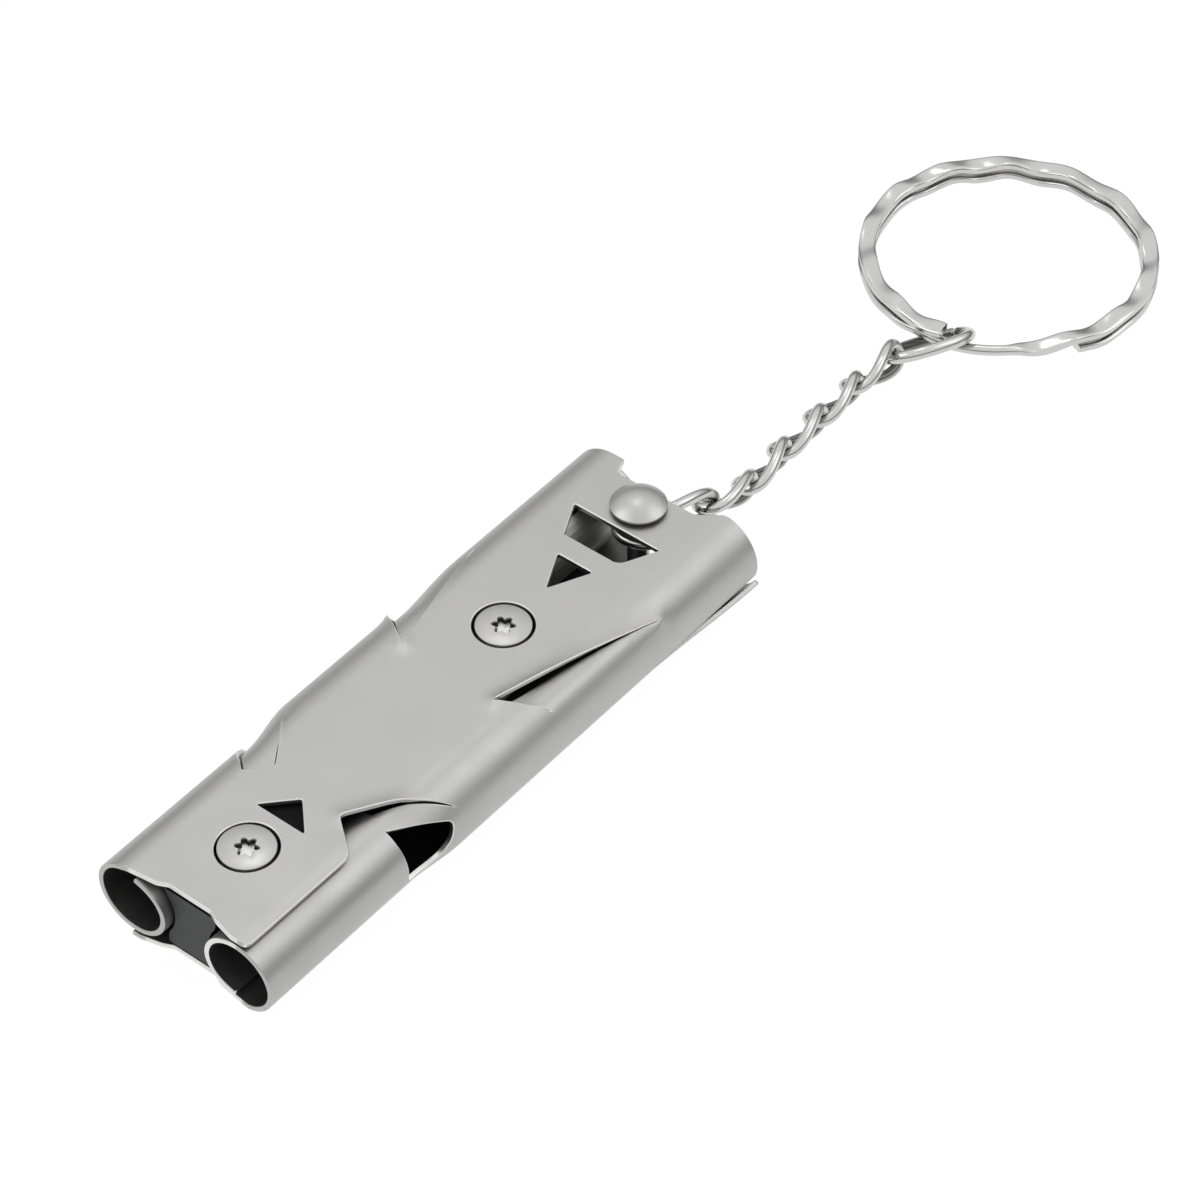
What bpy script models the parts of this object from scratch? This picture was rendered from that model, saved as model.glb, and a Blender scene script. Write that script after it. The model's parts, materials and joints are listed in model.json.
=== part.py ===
"""Twin-tube pocket whistle rolled from sheet steel, on a short twisted chain with a split ring.

The body is built along X from its mouth end (x = 0) to its chain end, Y points to its left and Z up.
The parent frame then shifts it, so that the finished part has its origin at the middle of the flat
underside of the body.
"""
import math

import bmesh
import bpy
from mathutils import Vector
from mathutils.geometry import delaunay_2d_cdt

MM = 0.001

# Body
BODY_LENGTH = 63.0 * MM
BODY_HEIGHT = 8.2 * MM
SHEET = 0.5 * MM
WRAP_SPACING = 12.1 * MM
SEAT_GAP = 0.3 * MM
SEAM_GAP = 0.35 * MM

# Blowing tubes, rolled at the mouth end
TUBE_DIAMETER = 7.35 * MM
TUBE_SPACING = 11.6 * MM
ROLL_TURN = math.radians(348)
TUCK_START = math.radians(262)
TUCK_CLEARANCE = 0.12 * MM
TUBE_LENGTH = 17.5 * MM

# Mouth end of the plates
FREE_EDGE = 7.15 * MM
FREE_EDGE_LENGTH = 12.5 * MM
MOUTH_RECESS = 0.95 * MM
MOUTH_RECESS_HALF = 2.3 * MM
MOUTH_RECESS_SLOPE = 1.0 * MM
MOUTH_RECESS_CORNER = 0.25 * MM
EDGE_CORNER = 0.9 * MM

# Sound windows, as places along the body and angles down from the crest of a tube
WINDOW_LENGTH = 4.8 * MM
LIP_LENGTH = 5.5 * MM
RIGHT_WINDOW = (math.radians(20), math.radians(101))
LEFT_WINDOW = (math.radians(72), math.radians(152))
WINDOW_TIP = 0.58
WINDOW_CORNER = 0.6 * MM

# Round end of a window: shares of its length, with shares of the way from each side to its tip
WINDOW_UPPER_SIDE = ((0.55, 0.38), (1.0, 0.78))
WINDOW_LOWER_SIDE = ((0.9, 0.7), (0.6, 0.08))

# Pressed notches: the tip of each, then where its legs end, along the body and across it
NOTCH_WIDTH = 0.22 * MM
RIGHT_NOTCH_TIP = (15.2 * MM, 3.6 * MM)
LIP_MIDDLE = (19.6 * MM, 6.3 * MM)
LIP_SHOULDER = (22.0 * MM, 8.7 * MM)
LIP_END_ANGLE = math.radians(54)
NOTCH_CORNER = 0.5 * MM
LIP_CORNER = 1.8 * MM
LEFT_NOTCH_TIP = (15.5 * MM, 4.1 * MM)
LEFT_NOTCH_FAR = (20.7 * MM, 7.9 * MM)
LEFT_NOTCH_NEAR = (14.1 * MM, 6.4 * MM)
LEFT_NOTCH_SIDE = (16.3 * MM, 9.9 * MM)
LEFT_PRESS = 0.5 * MM
REAR_RIGHT_TIP = (33.1 * MM, 5.15 * MM)
REAR_RIGHT_NEAR = (36.0 * MM, 9.3 * MM)
REAR_RIGHT_FAR = (50.2 * MM, 9.5 * MM)
REAR_LEFT_TIP = (33.8 * MM, 5.05 * MM)
REAR_LEFT_NEAR = (35.8 * MM, 8.9 * MM)
REAR_LEFT_FAR = (40.6 * MM, 6.8 * MM)
REAR_PRESS = 0.5 * MM

# Open seam low on the right of the chain end, where the under plate stands proud
SEAM_LENGTH = 15.5 * MM
SEAM_ANGLE = math.radians(111)
SEAM_WIDTH = 0.4 * MM
SEAM_PROUD = 0.4 * MM

# Cut-outs on the centre line
FRONT_CUT_AT = 11.9 * MM
FRONT_CUT_LENGTH = 2.7 * MM
FRONT_CUT_HALF = 2.65 * MM
REAR_CUT_FROM_END = 7.2 * MM
REAR_CUT_LENGTH = 9.6 * MM
REAR_CUT_HALF = 4.7 * MM
REAR_BAR_AT = 3.5 * MM
REAR_BAR = 2.25 * MM
CUT_CORNER = 0.25 * MM

# Chain end of the plates
END_RECESS = 1.7 * MM
END_RECESS_HALF = 4.3 * MM
END_STEP = 0.5 * MM
END_SLOPE = 2.2 * MM
END_CORNER = 1.6 * MM

# Screws and sleeve nuts
FRONT_SCREW_AT = 7.9 * MM
REAR_SCREW_FROM_END = 22.6 * MM
SCREW_HEAD_DIAMETER = 5.0 * MM
SCREW_HEAD_GAP = 0.25 * MM
SCREW_HEAD_HEIGHT = 0.9 * MM
SCREW_SHANK_DIAMETER = 2.5 * MM
SCREW_TIP_LIFT = 1.6 * MM
NUT_BARREL_DIAMETER = 4.2 * MM
STAR_DIAMETER = 2.1 * MM
STAR_WAVE = 0.3 * MM
STAR_DEPTH = 0.6 * MM
STAR_LOBES = 6

# Rivet that carries the chain
RIVET_FROM_END = 4.1 * MM
RIVET_DIAMETER = 2.0 * MM
RIVET_HEAD_DIAMETER = 5.1 * MM
RIVET_DOME = 0.85 * MM
RIVET_RIM = 0.25 * MM

# Inside
CORE_START = 0.95 * MM
CORE_END_FROM_END = 17.6 * MM
CORE_SIDE = 2.8 * MM
PLUG_START = 7.0 * MM
WINDWAY = 1.1 * MM
INNER_WALL = 0.4 * MM
INNER_WALL_TURN = math.radians(128)
END_PLUG_LENGTH = 2.4 * MM
END_PLUG_INSET = 0.25 * MM
END_PLUG_CHAMFER = 0.3 * MM

# Chain, with the heading of each link in degrees, in order from the rivet
LINK_WIRE = 1.05 * MM
LINK_LENGTH = 8.0 * MM
LINK_WIDTH = 5.0 * MM
LINK_GAP = 0.3 * MM
LINK_FULLNESS = 0.18
LINK_LEANS = (math.radians(-20), math.radians(-91))
FIRST_LINK_LENGTH = 6.0 * MM
FIRST_LINK_WIDTH = 5.2 * MM
FIRST_LINK_DROP = 2.5 * MM
CHAIN_FLOOR_GAP = 0.25 * MM
SECOND_LINK_DIP = 0.55
FIRST_LINK_LEANS = (0.0, math.radians(45))
SECOND_LINK_LEANS = (math.radians(-40), math.radians(-95))
LAST_LINK_LEANS = (math.radians(-20), math.radians(-110))
LINK_HEADINGS = (0, -22, -3, 3, 1, 1, -5)
LOOP_HEADING = -26
LOOP_WIRE = 1.15 * MM
LOOP_LENGTH = 9.5 * MM
LOOP_WIDTH = 6.6 * MM
LOOP_LEAN = math.radians(-35)
LOOP_SPLIT = 0.35 * MM
LOOP_SPLIT_TURN = math.radians(28)

# Split ring, held by the loop
RING_DIAMETER = 28.5 * MM
RING_STRIP = 1.7 * MM
RING_STRIP_THICKNESS = 0.75 * MM
RING_COIL_GAP = 0.45 * MM
RING_WAVES = 14
RING_WAVE = 0.18 * MM
RING_SQUARENESS = 0.45
RING_LOWER_END = math.radians(54)
RING_UPPER_END = math.radians(-1)
RING_WIRE = 1.0 * MM
RING_WIRE_SPAN = (math.radians(-12), math.radians(24))
RING_WIRE_BLEND = math.radians(10)
RING_HEADING = math.radians(9)
RING_PLAY = 1.5 * MM
RING_SAG = 0.3 * MM
RING_FLOOR_GAP = 1.6 * MM

# Resolution of round forms
BEND_STEP = math.radians(15)
TONGUE_RULING_END = math.radians(60)
SHARP_ANGLE = math.radians(30)
FILLET_STEPS = 4
FILLET_SHARE = 0.45
LEAST_MITRE = 0.35
CIRCLE_SEGMENTS = 32
LINK_POINTS = 24
RING_POINTS_PER_TURN = 90
RING_SECTION_POINTS = 8
TONGUE_STATIONS = 9
SHORT_STATIONS = 5
STAR_POINTS = 36
CORE_STEPS = 10
WALL_STEPS = 12
PLUG_POINTS = 40
DOME_STEPS = 6
WIRE_RESOLUTION = 2
WELD = 0.002 * MM

# Colours (red, green, blue), roughness and metallic value of each material
MATERIALS = {
    "satin_steel": ((0.62, 0.62, 0.61), 0.38, 1.0),
    "polished_steel": ((0.74, 0.74, 0.73), 0.18, 1.0),
    "screw_steel": ((0.66, 0.66, 0.65), 0.34, 1.0),
    "dark_plastic": ((0.045, 0.047, 0.05), 0.55, 0.0),
    "black_plastic": ((0.015, 0.015, 0.016), 0.5, 0.0),
}

# Values that follow from the driving sizes
FLAT = WRAP_SPACING / 2
BEND = BODY_HEIGHT / 2
TUBE_RADIUS = TUBE_DIAMETER / 2
HALF_ROUND = math.pi * BEND
UNDERSIDE = FLAT + HALF_ROUND
LIP_END = TUBE_LENGTH + LIP_LENGTH
MID_HEIGHT = BODY_HEIGHT / 2
REAR_SCREW_AT = BODY_LENGTH - REAR_SCREW_FROM_END
RIVET_AT = BODY_LENGTH - RIVET_FROM_END
SCREW_HOLE_RADIUS = SCREW_HEAD_DIAMETER / 2 + SCREW_HEAD_GAP
RIVET_HOLE_RADIUS = RIVET_DIAMETER / 2 + SEAT_GAP
HALF_JOINT = (LINK_WIRE + LINK_GAP) / 2


def mix(start, end, share):
    return start + (end - start) * share


def smooth(value):
    value = min(max(value, 0.0), 1.0)
    return value * value * (3.0 - 2.0 * value)


def clear_scene():
    for item in list(bpy.data.objects):
        bpy.data.objects.remove(item, do_unlink=True)


def make_materials():
    made = {}
    for name, (colour, roughness, metallic) in MATERIALS.items():
        material = bpy.data.materials.new(name)
        material.use_nodes = True
        shader = material.node_tree.nodes["Principled BSDF"]
        shader.inputs["Base Color"].default_value = (*colour, 1.0)
        shader.inputs["Roughness"].default_value = roughness
        shader.inputs["Metallic"].default_value = metallic
        material.diffuse_color = (*colour, 1.0)
        made[name] = material
    return made


def add_object(name, data, material, location=(0, 0, 0)):
    item = bpy.data.objects.new(name, data)
    bpy.context.scene.collection.objects.link(item)
    data.materials.append(material)
    item.location = location
    return item


def mesh_from(build):
    """Mesh made by a function that fills a bmesh, shaded smooth with sharp edges kept."""
    shape = bmesh.new()
    build(shape)
    bmesh.ops.recalc_face_normals(shape, faces=shape.faces)
    mesh = bpy.data.meshes.new("mesh")
    shape.to_mesh(mesh)
    shape.free()
    mesh.shade_smooth()
    mesh.set_sharp_from_angle(angle=SHARP_ANGLE)
    return mesh


def cut(item, cutter):
    """Subtract one hidden object from another."""
    cutter.hide_render = True
    cutter.display_type = "WIRE"
    modifier = item.modifiers.new("cut", "BOOLEAN")
    modifier.operation = "DIFFERENCE"
    modifier.solver = "EXACT"
    modifier.object = cutter


def arc(centre_x, centre_y, radius, start, end, count):
    """Points along an arc, both ends included."""
    steps = [start + (end - start) * k / count for k in range(count + 1)]
    return [(centre_x + radius * math.cos(a), centre_y + radius * math.sin(a)) for a in steps]


def circle(centre_x, centre_y, radius):
    return arc(centre_x, centre_y, radius, 0.0, math.tau, CIRCLE_SEGMENTS)[:-1]


def fillet(points, radii):
    """Closed outline with its corners rounded; a radius of 0 keeps a corner sharp."""
    rounded = []
    count = len(points)
    for k, radius in enumerate(radii):
        corner = Vector(points[k])
        before = Vector(points[k - 1]) - corner
        after = Vector(points[(k + 1) % count]) - corner
        if radius == 0 or before.length == 0 or after.length == 0:
            rounded.append(tuple(corner))
            continue
        reach = min(radius, before.length * FILLET_SHARE, after.length * FILLET_SHARE)
        start = corner + before.normalized() * reach
        end = corner + after.normalized() * reach
        for j in range(FILLET_STEPS + 1):
            share = j / FILLET_STEPS
            first = start.lerp(corner, share)
            second = corner.lerp(end, share)
            rounded.append(tuple(first.lerp(second, share)))
    return rounded


def slit(points, width):
    """Narrow closed outline along a bent line, pointed at both ends."""
    sides = ([], [])
    for k in range(1, len(points) - 1):
        here = Vector(points[k])
        before = (here - Vector(points[k - 1])).normalized()
        after = (Vector(points[k + 1]) - here).normalized()
        across = (before + after).normalized()
        normal = Vector((-across.y, across.x))
        stretch = max(abs(normal.dot(Vector((-before.y, before.x)))), LEAST_MITRE)
        for side, sign in zip(sides, (1, -1)):
            side.append(tuple(here + normal * sign * width / 2 / stretch))
    return [tuple(points[0])] + sides[0] + [tuple(points[-1])] + sides[1][::-1]


def holds(outline, point):
    """Whether a closed outline holds a point."""
    x, y = point
    found = False
    for (ax, ay), (bx, by) in zip(outline, outline[1:] + outline[:1]):
        if (ay > y) != (by > y) and x < ax + (bx - ax) * (y - ay) / (by - ay):
            found = not found
    return found


def left(points):
    """The same places on the left half of the blank."""
    return [(x, -across) for x, across in points]


def round_at(angle):
    """Place across the blank for an angle down a round side."""
    return FLAT + BEND * angle


def under_at(y):
    """Place across the blank for a place on the under plate."""
    return UNDERSIDE + FLAT + y


class Blank:
    """Flat sheet outline, triangulated with its bend lines and folded to its rolled form."""

    def __init__(self, outline, holes, rulings, rolled):
        self.outline = outline
        self.holes = holes
        self.rulings = rulings
        self.rolled = rolled

    def keeps(self, point):
        return holds(self.outline, point) and not any(holds(hole, point) for hole in self.holes)

    def triangles(self):
        points, edges = [], []
        for loop in [self.outline] + self.holes:
            first = len(points)
            points += [Vector((x / MM, y / MM)) for x, y in loop]
            edges += [(first + k, first + (k + 1) % len(loop)) for k in range(len(loop))]
        for start, end in self.rulings:
            edges.append((len(points), len(points) + 1))
            points += [Vector((start[0] / MM, start[1] / MM)), Vector((end[0] / MM, end[1] / MM))]
        found = delaunay_2d_cdt(points, edges, [], 0, 1e-4)
        places = [(place.x * MM, place.y * MM) for place in found[0]]
        kept = []
        for face in found[2]:
            middle = tuple(sum(places[k][axis] for k in face) / 3 for axis in (0, 1))
            if self.keeps(middle):
                kept.append(face)
        return places, kept


def section(x, rolled):
    """Round side of the body at a station: centre distance from the centre line and radius."""
    blend = smooth((x - TUBE_LENGTH) / LIP_LENGTH) if rolled else 1.0
    return mix(TUBE_SPACING, WRAP_SPACING, blend) / 2, mix(TUBE_RADIUS, BEND, blend)


def tuck(turn):
    """How far the free end of a roll is drawn in, so that it passes under its own plate."""
    share = (turn - TUCK_START) / (ROLL_TURN - TUCK_START)
    return (SHEET + TUCK_CLEARANCE) * smooth(share)


def fold(x, across, rolled):
    """Place and outward normal on the outer face for a place on the blank."""
    side = -1.0 if across >= 0 or rolled == "right" else 1.0
    reach = across if side < 0 else -across
    centre, radius = section(x, rolled)
    middle = radius if rolled == "right" else BODY_HEIGHT - radius
    if reach <= FLAT and rolled != "right":
        return Vector((x, side * reach * centre / FLAT, BODY_HEIGHT)), Vector((0, 0, 1))
    angle = (reach - FLAT) / BEND
    if side > 0 or angle <= math.pi:
        turn = angle if side > 0 else math.pi - angle
        arm = radius - tuck(turn)
        normal = Vector((0, side * math.sin(angle), math.cos(angle)))
        return Vector((x, side * centre, middle)) + normal * arm, normal
    from_side = reach - UNDERSIDE
    if from_side <= FLAT:
        return Vector((x, -centre * (1 - from_side / FLAT), 0)), Vector((0, 0, -1))
    y = from_side - FLAT
    if y <= FLAT:
        return Vector((x, y, 0)), Vector((0, 0, -1))
    curl = (y - FLAT) / BEND
    normal = Vector((0, math.sin(curl), -math.cos(curl)))
    return Vector((x, FLAT, BEND)) + normal * BEND, normal


def pressed(x, across, rolled):
    """How far the sheet is pressed inwards at a place on the blank."""
    depth = 0.0
    if rolled == "right":
        return depth
    tongues = (
        ([REAR_RIGHT_NEAR, REAR_RIGHT_TIP, REAR_RIGHT_FAR], 1, REAR_PRESS),
        (left([REAR_LEFT_NEAR, REAR_LEFT_TIP, REAR_LEFT_FAR]), -1, REAR_PRESS),
    )
    for corners, side, press in tongues:
        if holds(corners, (x, across)):
            tip = side * corners[1][1]
            root = min(side * corners[0][1], side * corners[2][1])
            depth += press * (1 - smooth((side * across - tip) / (root - tip)))
    if holds(left_tongue(), (x, across)):
        depth += LEFT_PRESS * (1 - smooth((x - LEFT_NOTCH_SIDE[0]) / (LIP_END - LEFT_NOTCH_SIDE[0])))
    seam_start = BODY_LENGTH - SEAM_LENGTH
    seam = round_at(SEAM_ANGLE)
    if x > seam_start and across > seam:
        fade = 1 - smooth((across - seam) / (UNDERSIDE - seam))
        depth -= SEAM_PROUD * smooth((x - seam_start) / SEAM_LENGTH) * fade
    return depth


def left_tongue():
    """Outline of the tongue that dips under the left roll."""
    window_top = round_at(LEFT_WINDOW[0])
    window_tip = round_at(mix(*LEFT_WINDOW, WINDOW_TIP))
    corners = [LEFT_NOTCH_FAR, LEFT_NOTCH_TIP, LEFT_NOTCH_NEAR, LEFT_NOTCH_SIDE]
    corners += [(TUBE_LENGTH, window_top), (LIP_END, window_tip), (LIP_END, LEFT_NOTCH_FAR[1])]
    return left(corners)


def window(angles):
    """Outline of a sound window: square at the tube's end, drawn to a round tip beyond it."""
    top, bottom = (round_at(angle) for angle in angles)
    tip = mix(top, bottom, WINDOW_TIP)
    corners = [(TUBE_LENGTH, top)]
    for side, places in ((top, WINDOW_UPPER_SIDE), (bottom, WINDOW_LOWER_SIDE)):
        corners += [(TUBE_LENGTH + along * WINDOW_LENGTH, mix(side, tip, share)) for along, share in places]
    corners.append((TUBE_LENGTH, bottom))
    radii = [0, 2 * WINDOW_CORNER, WINDOW_CORNER, WINDOW_CORNER, 2 * WINDOW_CORNER, 0]
    return fillet(corners, radii)


def mouth_edge(place):
    """Corners of a plate's front edge and their radii, set back between the tubes."""
    inner, outer = MOUTH_RECESS_HALF, MOUTH_RECESS_HALF + MOUTH_RECESS_SLOPE
    half = MOUTH_RECESS / 2
    corners = [
        ((half, -outer), MOUTH_RECESS_CORNER),
        ((MOUTH_RECESS, -inner), MOUTH_RECESS_CORNER),
        ((MOUTH_RECESS, inner), MOUTH_RECESS_CORNER),
        ((half, outer), MOUTH_RECESS_CORNER),
        ((0, outer + 2 * MOUTH_RECESS_SLOPE), 0),
        ((0, FREE_EDGE), EDGE_CORNER),
        ((FREE_EDGE_LENGTH, FREE_EDGE), EDGE_CORNER),
    ]
    return [((x, place(y)), radius) for (x, y), radius in corners]


def end_edge(place, step_side):
    """Corners of a plate's chain end and their radii, set back where the chain leaves the body."""
    back = BODY_LENGTH - END_RECESS
    slope = -step_side * (END_RECESS_HALF + END_SLOPE)
    step = step_side * (END_RECESS_HALF + END_STEP)
    corners = [
        ((BODY_LENGTH, slope), END_STEP),
        ((back, -step_side * END_RECESS_HALF), END_STEP),
        ((back, step_side * END_RECESS_HALF), END_STEP / 2),
        ((BODY_LENGTH, step), END_STEP / 2),
    ]
    return [((x, place(y)), radius) for (x, y), radius in corners]


def outline_from(corners):
    return fillet([place for place, radius in corners], [radius for place, radius in corners])


def bend_lines(first, last, start, end):
    """Rulings along the body, one for each bend step between two places across the blank."""
    low = math.ceil((first - FLAT) / BEND / BEND_STEP - 1e-6)
    high = math.floor((last - FLAT) / BEND / BEND_STEP + 1e-6)
    return [((start, round_at(k * BEND_STEP)), (end, round_at(k * BEND_STEP)))
            for k in range(low, high + 1)]


def stations(places, first, last):
    """Rulings across the blank."""
    return [((x, first), (x, last)) for x in places]


def spread(start, end, count):
    return [mix(start, end, k / count) for k in range(count + 1)]


def front_cut():
    """Small triangle near the mouth end, its base across the body."""
    tip = (FRONT_CUT_AT + FRONT_CUT_LENGTH, 0)
    base = [(FRONT_CUT_AT, -FRONT_CUT_HALF), (FRONT_CUT_AT, FRONT_CUT_HALF)]
    return fillet(base + [tip], [CUT_CORNER] * 3)


def rear_cuts():
    """The large triangle at the chain end, split in two by a bar."""
    base = BODY_LENGTH - REAR_CUT_FROM_END
    slope = REAR_CUT_HALF / REAR_CUT_LENGTH
    near = base - REAR_BAR_AT
    far = near - REAR_BAR
    wide = (REAR_CUT_LENGTH - REAR_BAR_AT) * slope
    narrow = (REAR_CUT_LENGTH - REAR_BAR_AT - REAR_BAR) * slope
    trapezoid = [(base, -REAR_CUT_HALF), (base, REAR_CUT_HALF), (near, wide), (near, -wide)]
    triangle = [(far, -narrow), (far, narrow), (base - REAR_CUT_LENGTH, 0)]
    return [fillet(trapezoid, [CUT_CORNER, 0, 3 * CUT_CORNER, 0]), fillet(triangle, [CUT_CORNER] * 3)]


def upper_blank():
    """Top plate with the left roll, both wraps and the under plate beyond the windows."""
    roll_end = -round_at(ROLL_TURN)
    wrap_end = -round_at(math.pi) + SEAM_GAP / 4
    under_edge = under_at(FLAT - SEAM_GAP)
    lip_end = (LIP_END, round_at(LIP_END_ANGLE))
    corners = [((0, roll_end), 0), ((0, -FREE_EDGE), 0)] + mouth_edge(lambda y: y)
    corners += [(RIGHT_NOTCH_TIP, NOTCH_CORNER), (LIP_MIDDLE, LIP_CORNER), (LIP_SHOULDER, LIP_CORNER)]
    corners += [(lip_end, 0), ((LIP_END, under_edge), 0), ((BODY_LENGTH - END_RECESS, under_edge), 0)]
    corners += end_edge(under_at, 1)[1::-1]
    corners += end_edge(lambda y: y, -1)
    corners += [((BODY_LENGTH, wrap_end), END_CORNER), ((TUBE_LENGTH, wrap_end), 0)]
    corners += [((TUBE_LENGTH, roll_end), 0)]
    outline = outline_from(corners)
    seam_tip = BODY_LENGTH - SEAM_LENGTH
    seam = round_at(SEAM_ANGLE)
    beyond = BODY_LENGTH + SEAM_WIDTH
    left_neck = [LEFT_NOTCH_FAR, LEFT_NOTCH_TIP, LEFT_NOTCH_NEAR, LEFT_NOTCH_SIDE]
    left_neck += [(TUBE_LENGTH + NOTCH_WIDTH, round_at(LEFT_WINDOW[0]) + NOTCH_WIDTH)]
    holes = [
        circle(FRONT_SCREW_AT, 0, SCREW_HOLE_RADIUS),
        circle(REAR_SCREW_AT, 0, SCREW_HOLE_RADIUS),
        circle(RIVET_AT, 0, RIVET_HOLE_RADIUS),
        front_cut(),
        circle(REAR_SCREW_AT, under_at(0), SCREW_HOLE_RADIUS),
        circle(RIVET_AT, under_at(0), RIVET_HOLE_RADIUS),
        slit([REAR_RIGHT_FAR, REAR_RIGHT_TIP, REAR_RIGHT_NEAR], NOTCH_WIDTH),
        slit(left([REAR_LEFT_FAR, REAR_LEFT_TIP, REAR_LEFT_NEAR]), NOTCH_WIDTH),
        slit(left(left_neck), NOTCH_WIDTH),
        left(window(LEFT_WINDOW)),
        [(seam_tip, seam), (beyond, seam + SEAM_WIDTH / 2), (beyond, seam - SEAM_WIDTH / 2)],
    ] + rear_cuts()
    rulings = bend_lines(FLAT, under_edge, RIGHT_NOTCH_TIP[0], BODY_LENGTH)
    rulings = [line for line in rulings if line[0][1] <= UNDERSIDE + 1e-9]
    rulings += [((start[0], -start[1]), (end[0], -end[1]))
                for start, end in bend_lines(FLAT, -wrap_end, 0, BODY_LENGTH)]
    rulings += [((start[0], -start[1]), (end[0], -end[1]))
                for start, end in bend_lines(-wrap_end, -roll_end, 0, TUBE_LENGTH)]
    blend = spread(LEFT_NOTCH_NEAR[0], LIP_END, TONGUE_STATIONS)
    rulings += stations(blend, wrap_end, -LEFT_NOTCH_TIP[1])
    rear = spread(REAR_RIGHT_TIP[0], REAR_RIGHT_FAR[0], TONGUE_STATIONS)
    rulings += stations(rear, REAR_RIGHT_TIP[1], round_at(TONGUE_RULING_END))
    rear_left = spread(REAR_LEFT_TIP[0], REAR_LEFT_FAR[0], SHORT_STATIONS)
    rulings += stations(rear_left, -round_at(TONGUE_RULING_END), -REAR_LEFT_TIP[1])
    rulings += stations(spread(seam_tip, BODY_LENGTH, SHORT_STATIONS)[:-1], seam, UNDERSIDE)
    return Blank(outline, holes, rulings, "left")


def lower_blank():
    """Right roll with the under plate below it, as far as the end of the window lip."""
    roll_end = round_at(math.pi - ROLL_TURN)
    under_edge = under_at(FLAT - SEAM_GAP)
    lip_end = (LIP_END, round_at(LIP_END_ANGLE))
    gap = NOTCH_WIDTH
    lip_start = (RIGHT_NOTCH_TIP[1] + LIP_MIDDLE[1]) / 2
    corners = [((0, roll_end), 0), ((TUBE_LENGTH, roll_end), 0), ((TUBE_LENGTH, lip_start + gap), 0)]
    corners += [((x, across + gap), LIP_CORNER) for x, across in (LIP_MIDDLE, LIP_SHOULDER)]
    corners += [(lip_end, 0), ((LIP_END, under_edge), 0), ((LIP_MIDDLE[0], under_edge), LIP_CORNER)]
    corners += [((RIGHT_NOTCH_TIP[0], under_at(RIGHT_NOTCH_TIP[1])), NOTCH_CORNER)]
    corners += mouth_edge(under_at)[::-1] + [((0, under_at(-FREE_EDGE)), 0)]
    outline = outline_from(corners)
    holes = [window(RIGHT_WINDOW), circle(FRONT_SCREW_AT, under_at(0), SCREW_HOLE_RADIUS)]
    rulings = bend_lines(roll_end, round_at(0), 0, TUBE_LENGTH)
    rulings += bend_lines(FLAT, UNDERSIDE, 0, LIP_END)
    rulings += stations(spread(TUBE_LENGTH, LIP_END, SHORT_STATIONS)[:-1], FLAT, UNDERSIDE)
    rulings += [((0, under_at(FLAT)), (LIP_END, under_at(FLAT)))]
    return Blank(outline, holes, rulings, "right")


def folded(blank):
    """Places and outward normals on the outer face of a folded blank, and its triangles."""
    flat_places, triangles = blank.triangles()
    places, normals = [], []
    for x, across in flat_places:
        on_plate = blank.rolled == "left" and across > 0
        place, normal = fold(x, across, None if on_plate else blank.rolled)
        places.append(place - normal * pressed(x, across, blank.rolled))
        normals.append(normal)
    wound = []
    for a, b, c in triangles:
        facing = (places[b] - places[a]).cross(places[c] - places[a])
        outward = normals[a] + normals[b] + normals[c]
        wound.append((a, b, c) if facing.dot(outward) > 0 else (a, c, b))
    return places, normals, wound


def joined_blanks():
    """Both blanks as one folded sheet, welded across the body at the end of the window lip."""
    places, normals, faces = folded(upper_blank())
    weld = [k for k, place in enumerate(places) if abs(place.x - LIP_END) < WELD]
    number = {}
    lower_places, lower_normals, lower_faces = folded(lower_blank())
    for k, place in enumerate(lower_places):
        met = [j for j in weld if (places[j] - place).length < WELD]
        number[k] = met[0] if met else len(places)
        if not met:
            places.append(place)
            normals.append(lower_normals[k])
    faces += [tuple(number[k] for k in face) for face in lower_faces]
    return places, normals, faces


def body_shell_mesh():
    """Folded sheet given its thickness inwards, with a rim along every open edge."""
    places, normals, faces = joined_blanks()
    edges = {(face[k - 1], face[k]) for face in faces for k in range(3)}
    used = sorted({k for face in faces for k in face})

    def build(shape):
        outer = {k: shape.verts.new(places[k]) for k in used}
        inner = {k: shape.verts.new(places[k] - normals[k] * SHEET) for k in used}
        for a, b, c in faces:
            shape.faces.new((outer[a], outer[b], outer[c]))
            shape.faces.new((inner[c], inner[b], inner[a]))
        for a, b in edges:
            if (b, a) not in edges:
                shape.faces.new((outer[b], outer[a], inner[a], inner[b]))
    return mesh_from(build)


def prism(shape, outline, low, high, axis="z"):
    """Closed prism over an outline: (x, y) raised along Z, or (y, z) drawn along X."""
    def place(point, level):
        return (*point, level) if axis == "z" else (level, *point)
    ends = [[shape.verts.new(place(point, level)) for point in outline] for level in (low, high)]
    shape.faces.new(ends[0])
    shape.faces.new(ends[1][::-1])
    count = len(outline)
    for k in range(count):
        j = (k + 1) % count
        shape.faces.new((ends[0][k], ends[0][j], ends[1][j], ends[1][k]))


def turned(shape, profile):
    """Solid turned about Z from (radius, height) points; both ends of the profile lie on the axis."""
    rings = []
    for radius, height in profile:
        if radius == 0:
            rings.append([shape.verts.new((0, 0, height))])
            continue
        rings.append([shape.verts.new((x, y, height)) for x, y in circle(0, 0, radius)])
    for lower, upper in zip(rings, rings[1:]):
        for k in range(CIRCLE_SEGMENTS):
            j = (k + 1) % CIRCLE_SEGMENTS
            corners = [lower[k % len(lower)], lower[j % len(lower)]]
            corners += [upper[j % len(upper)], upper[k % len(upper)]]
            shape.faces.new(list(dict.fromkeys(corners)))


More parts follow.
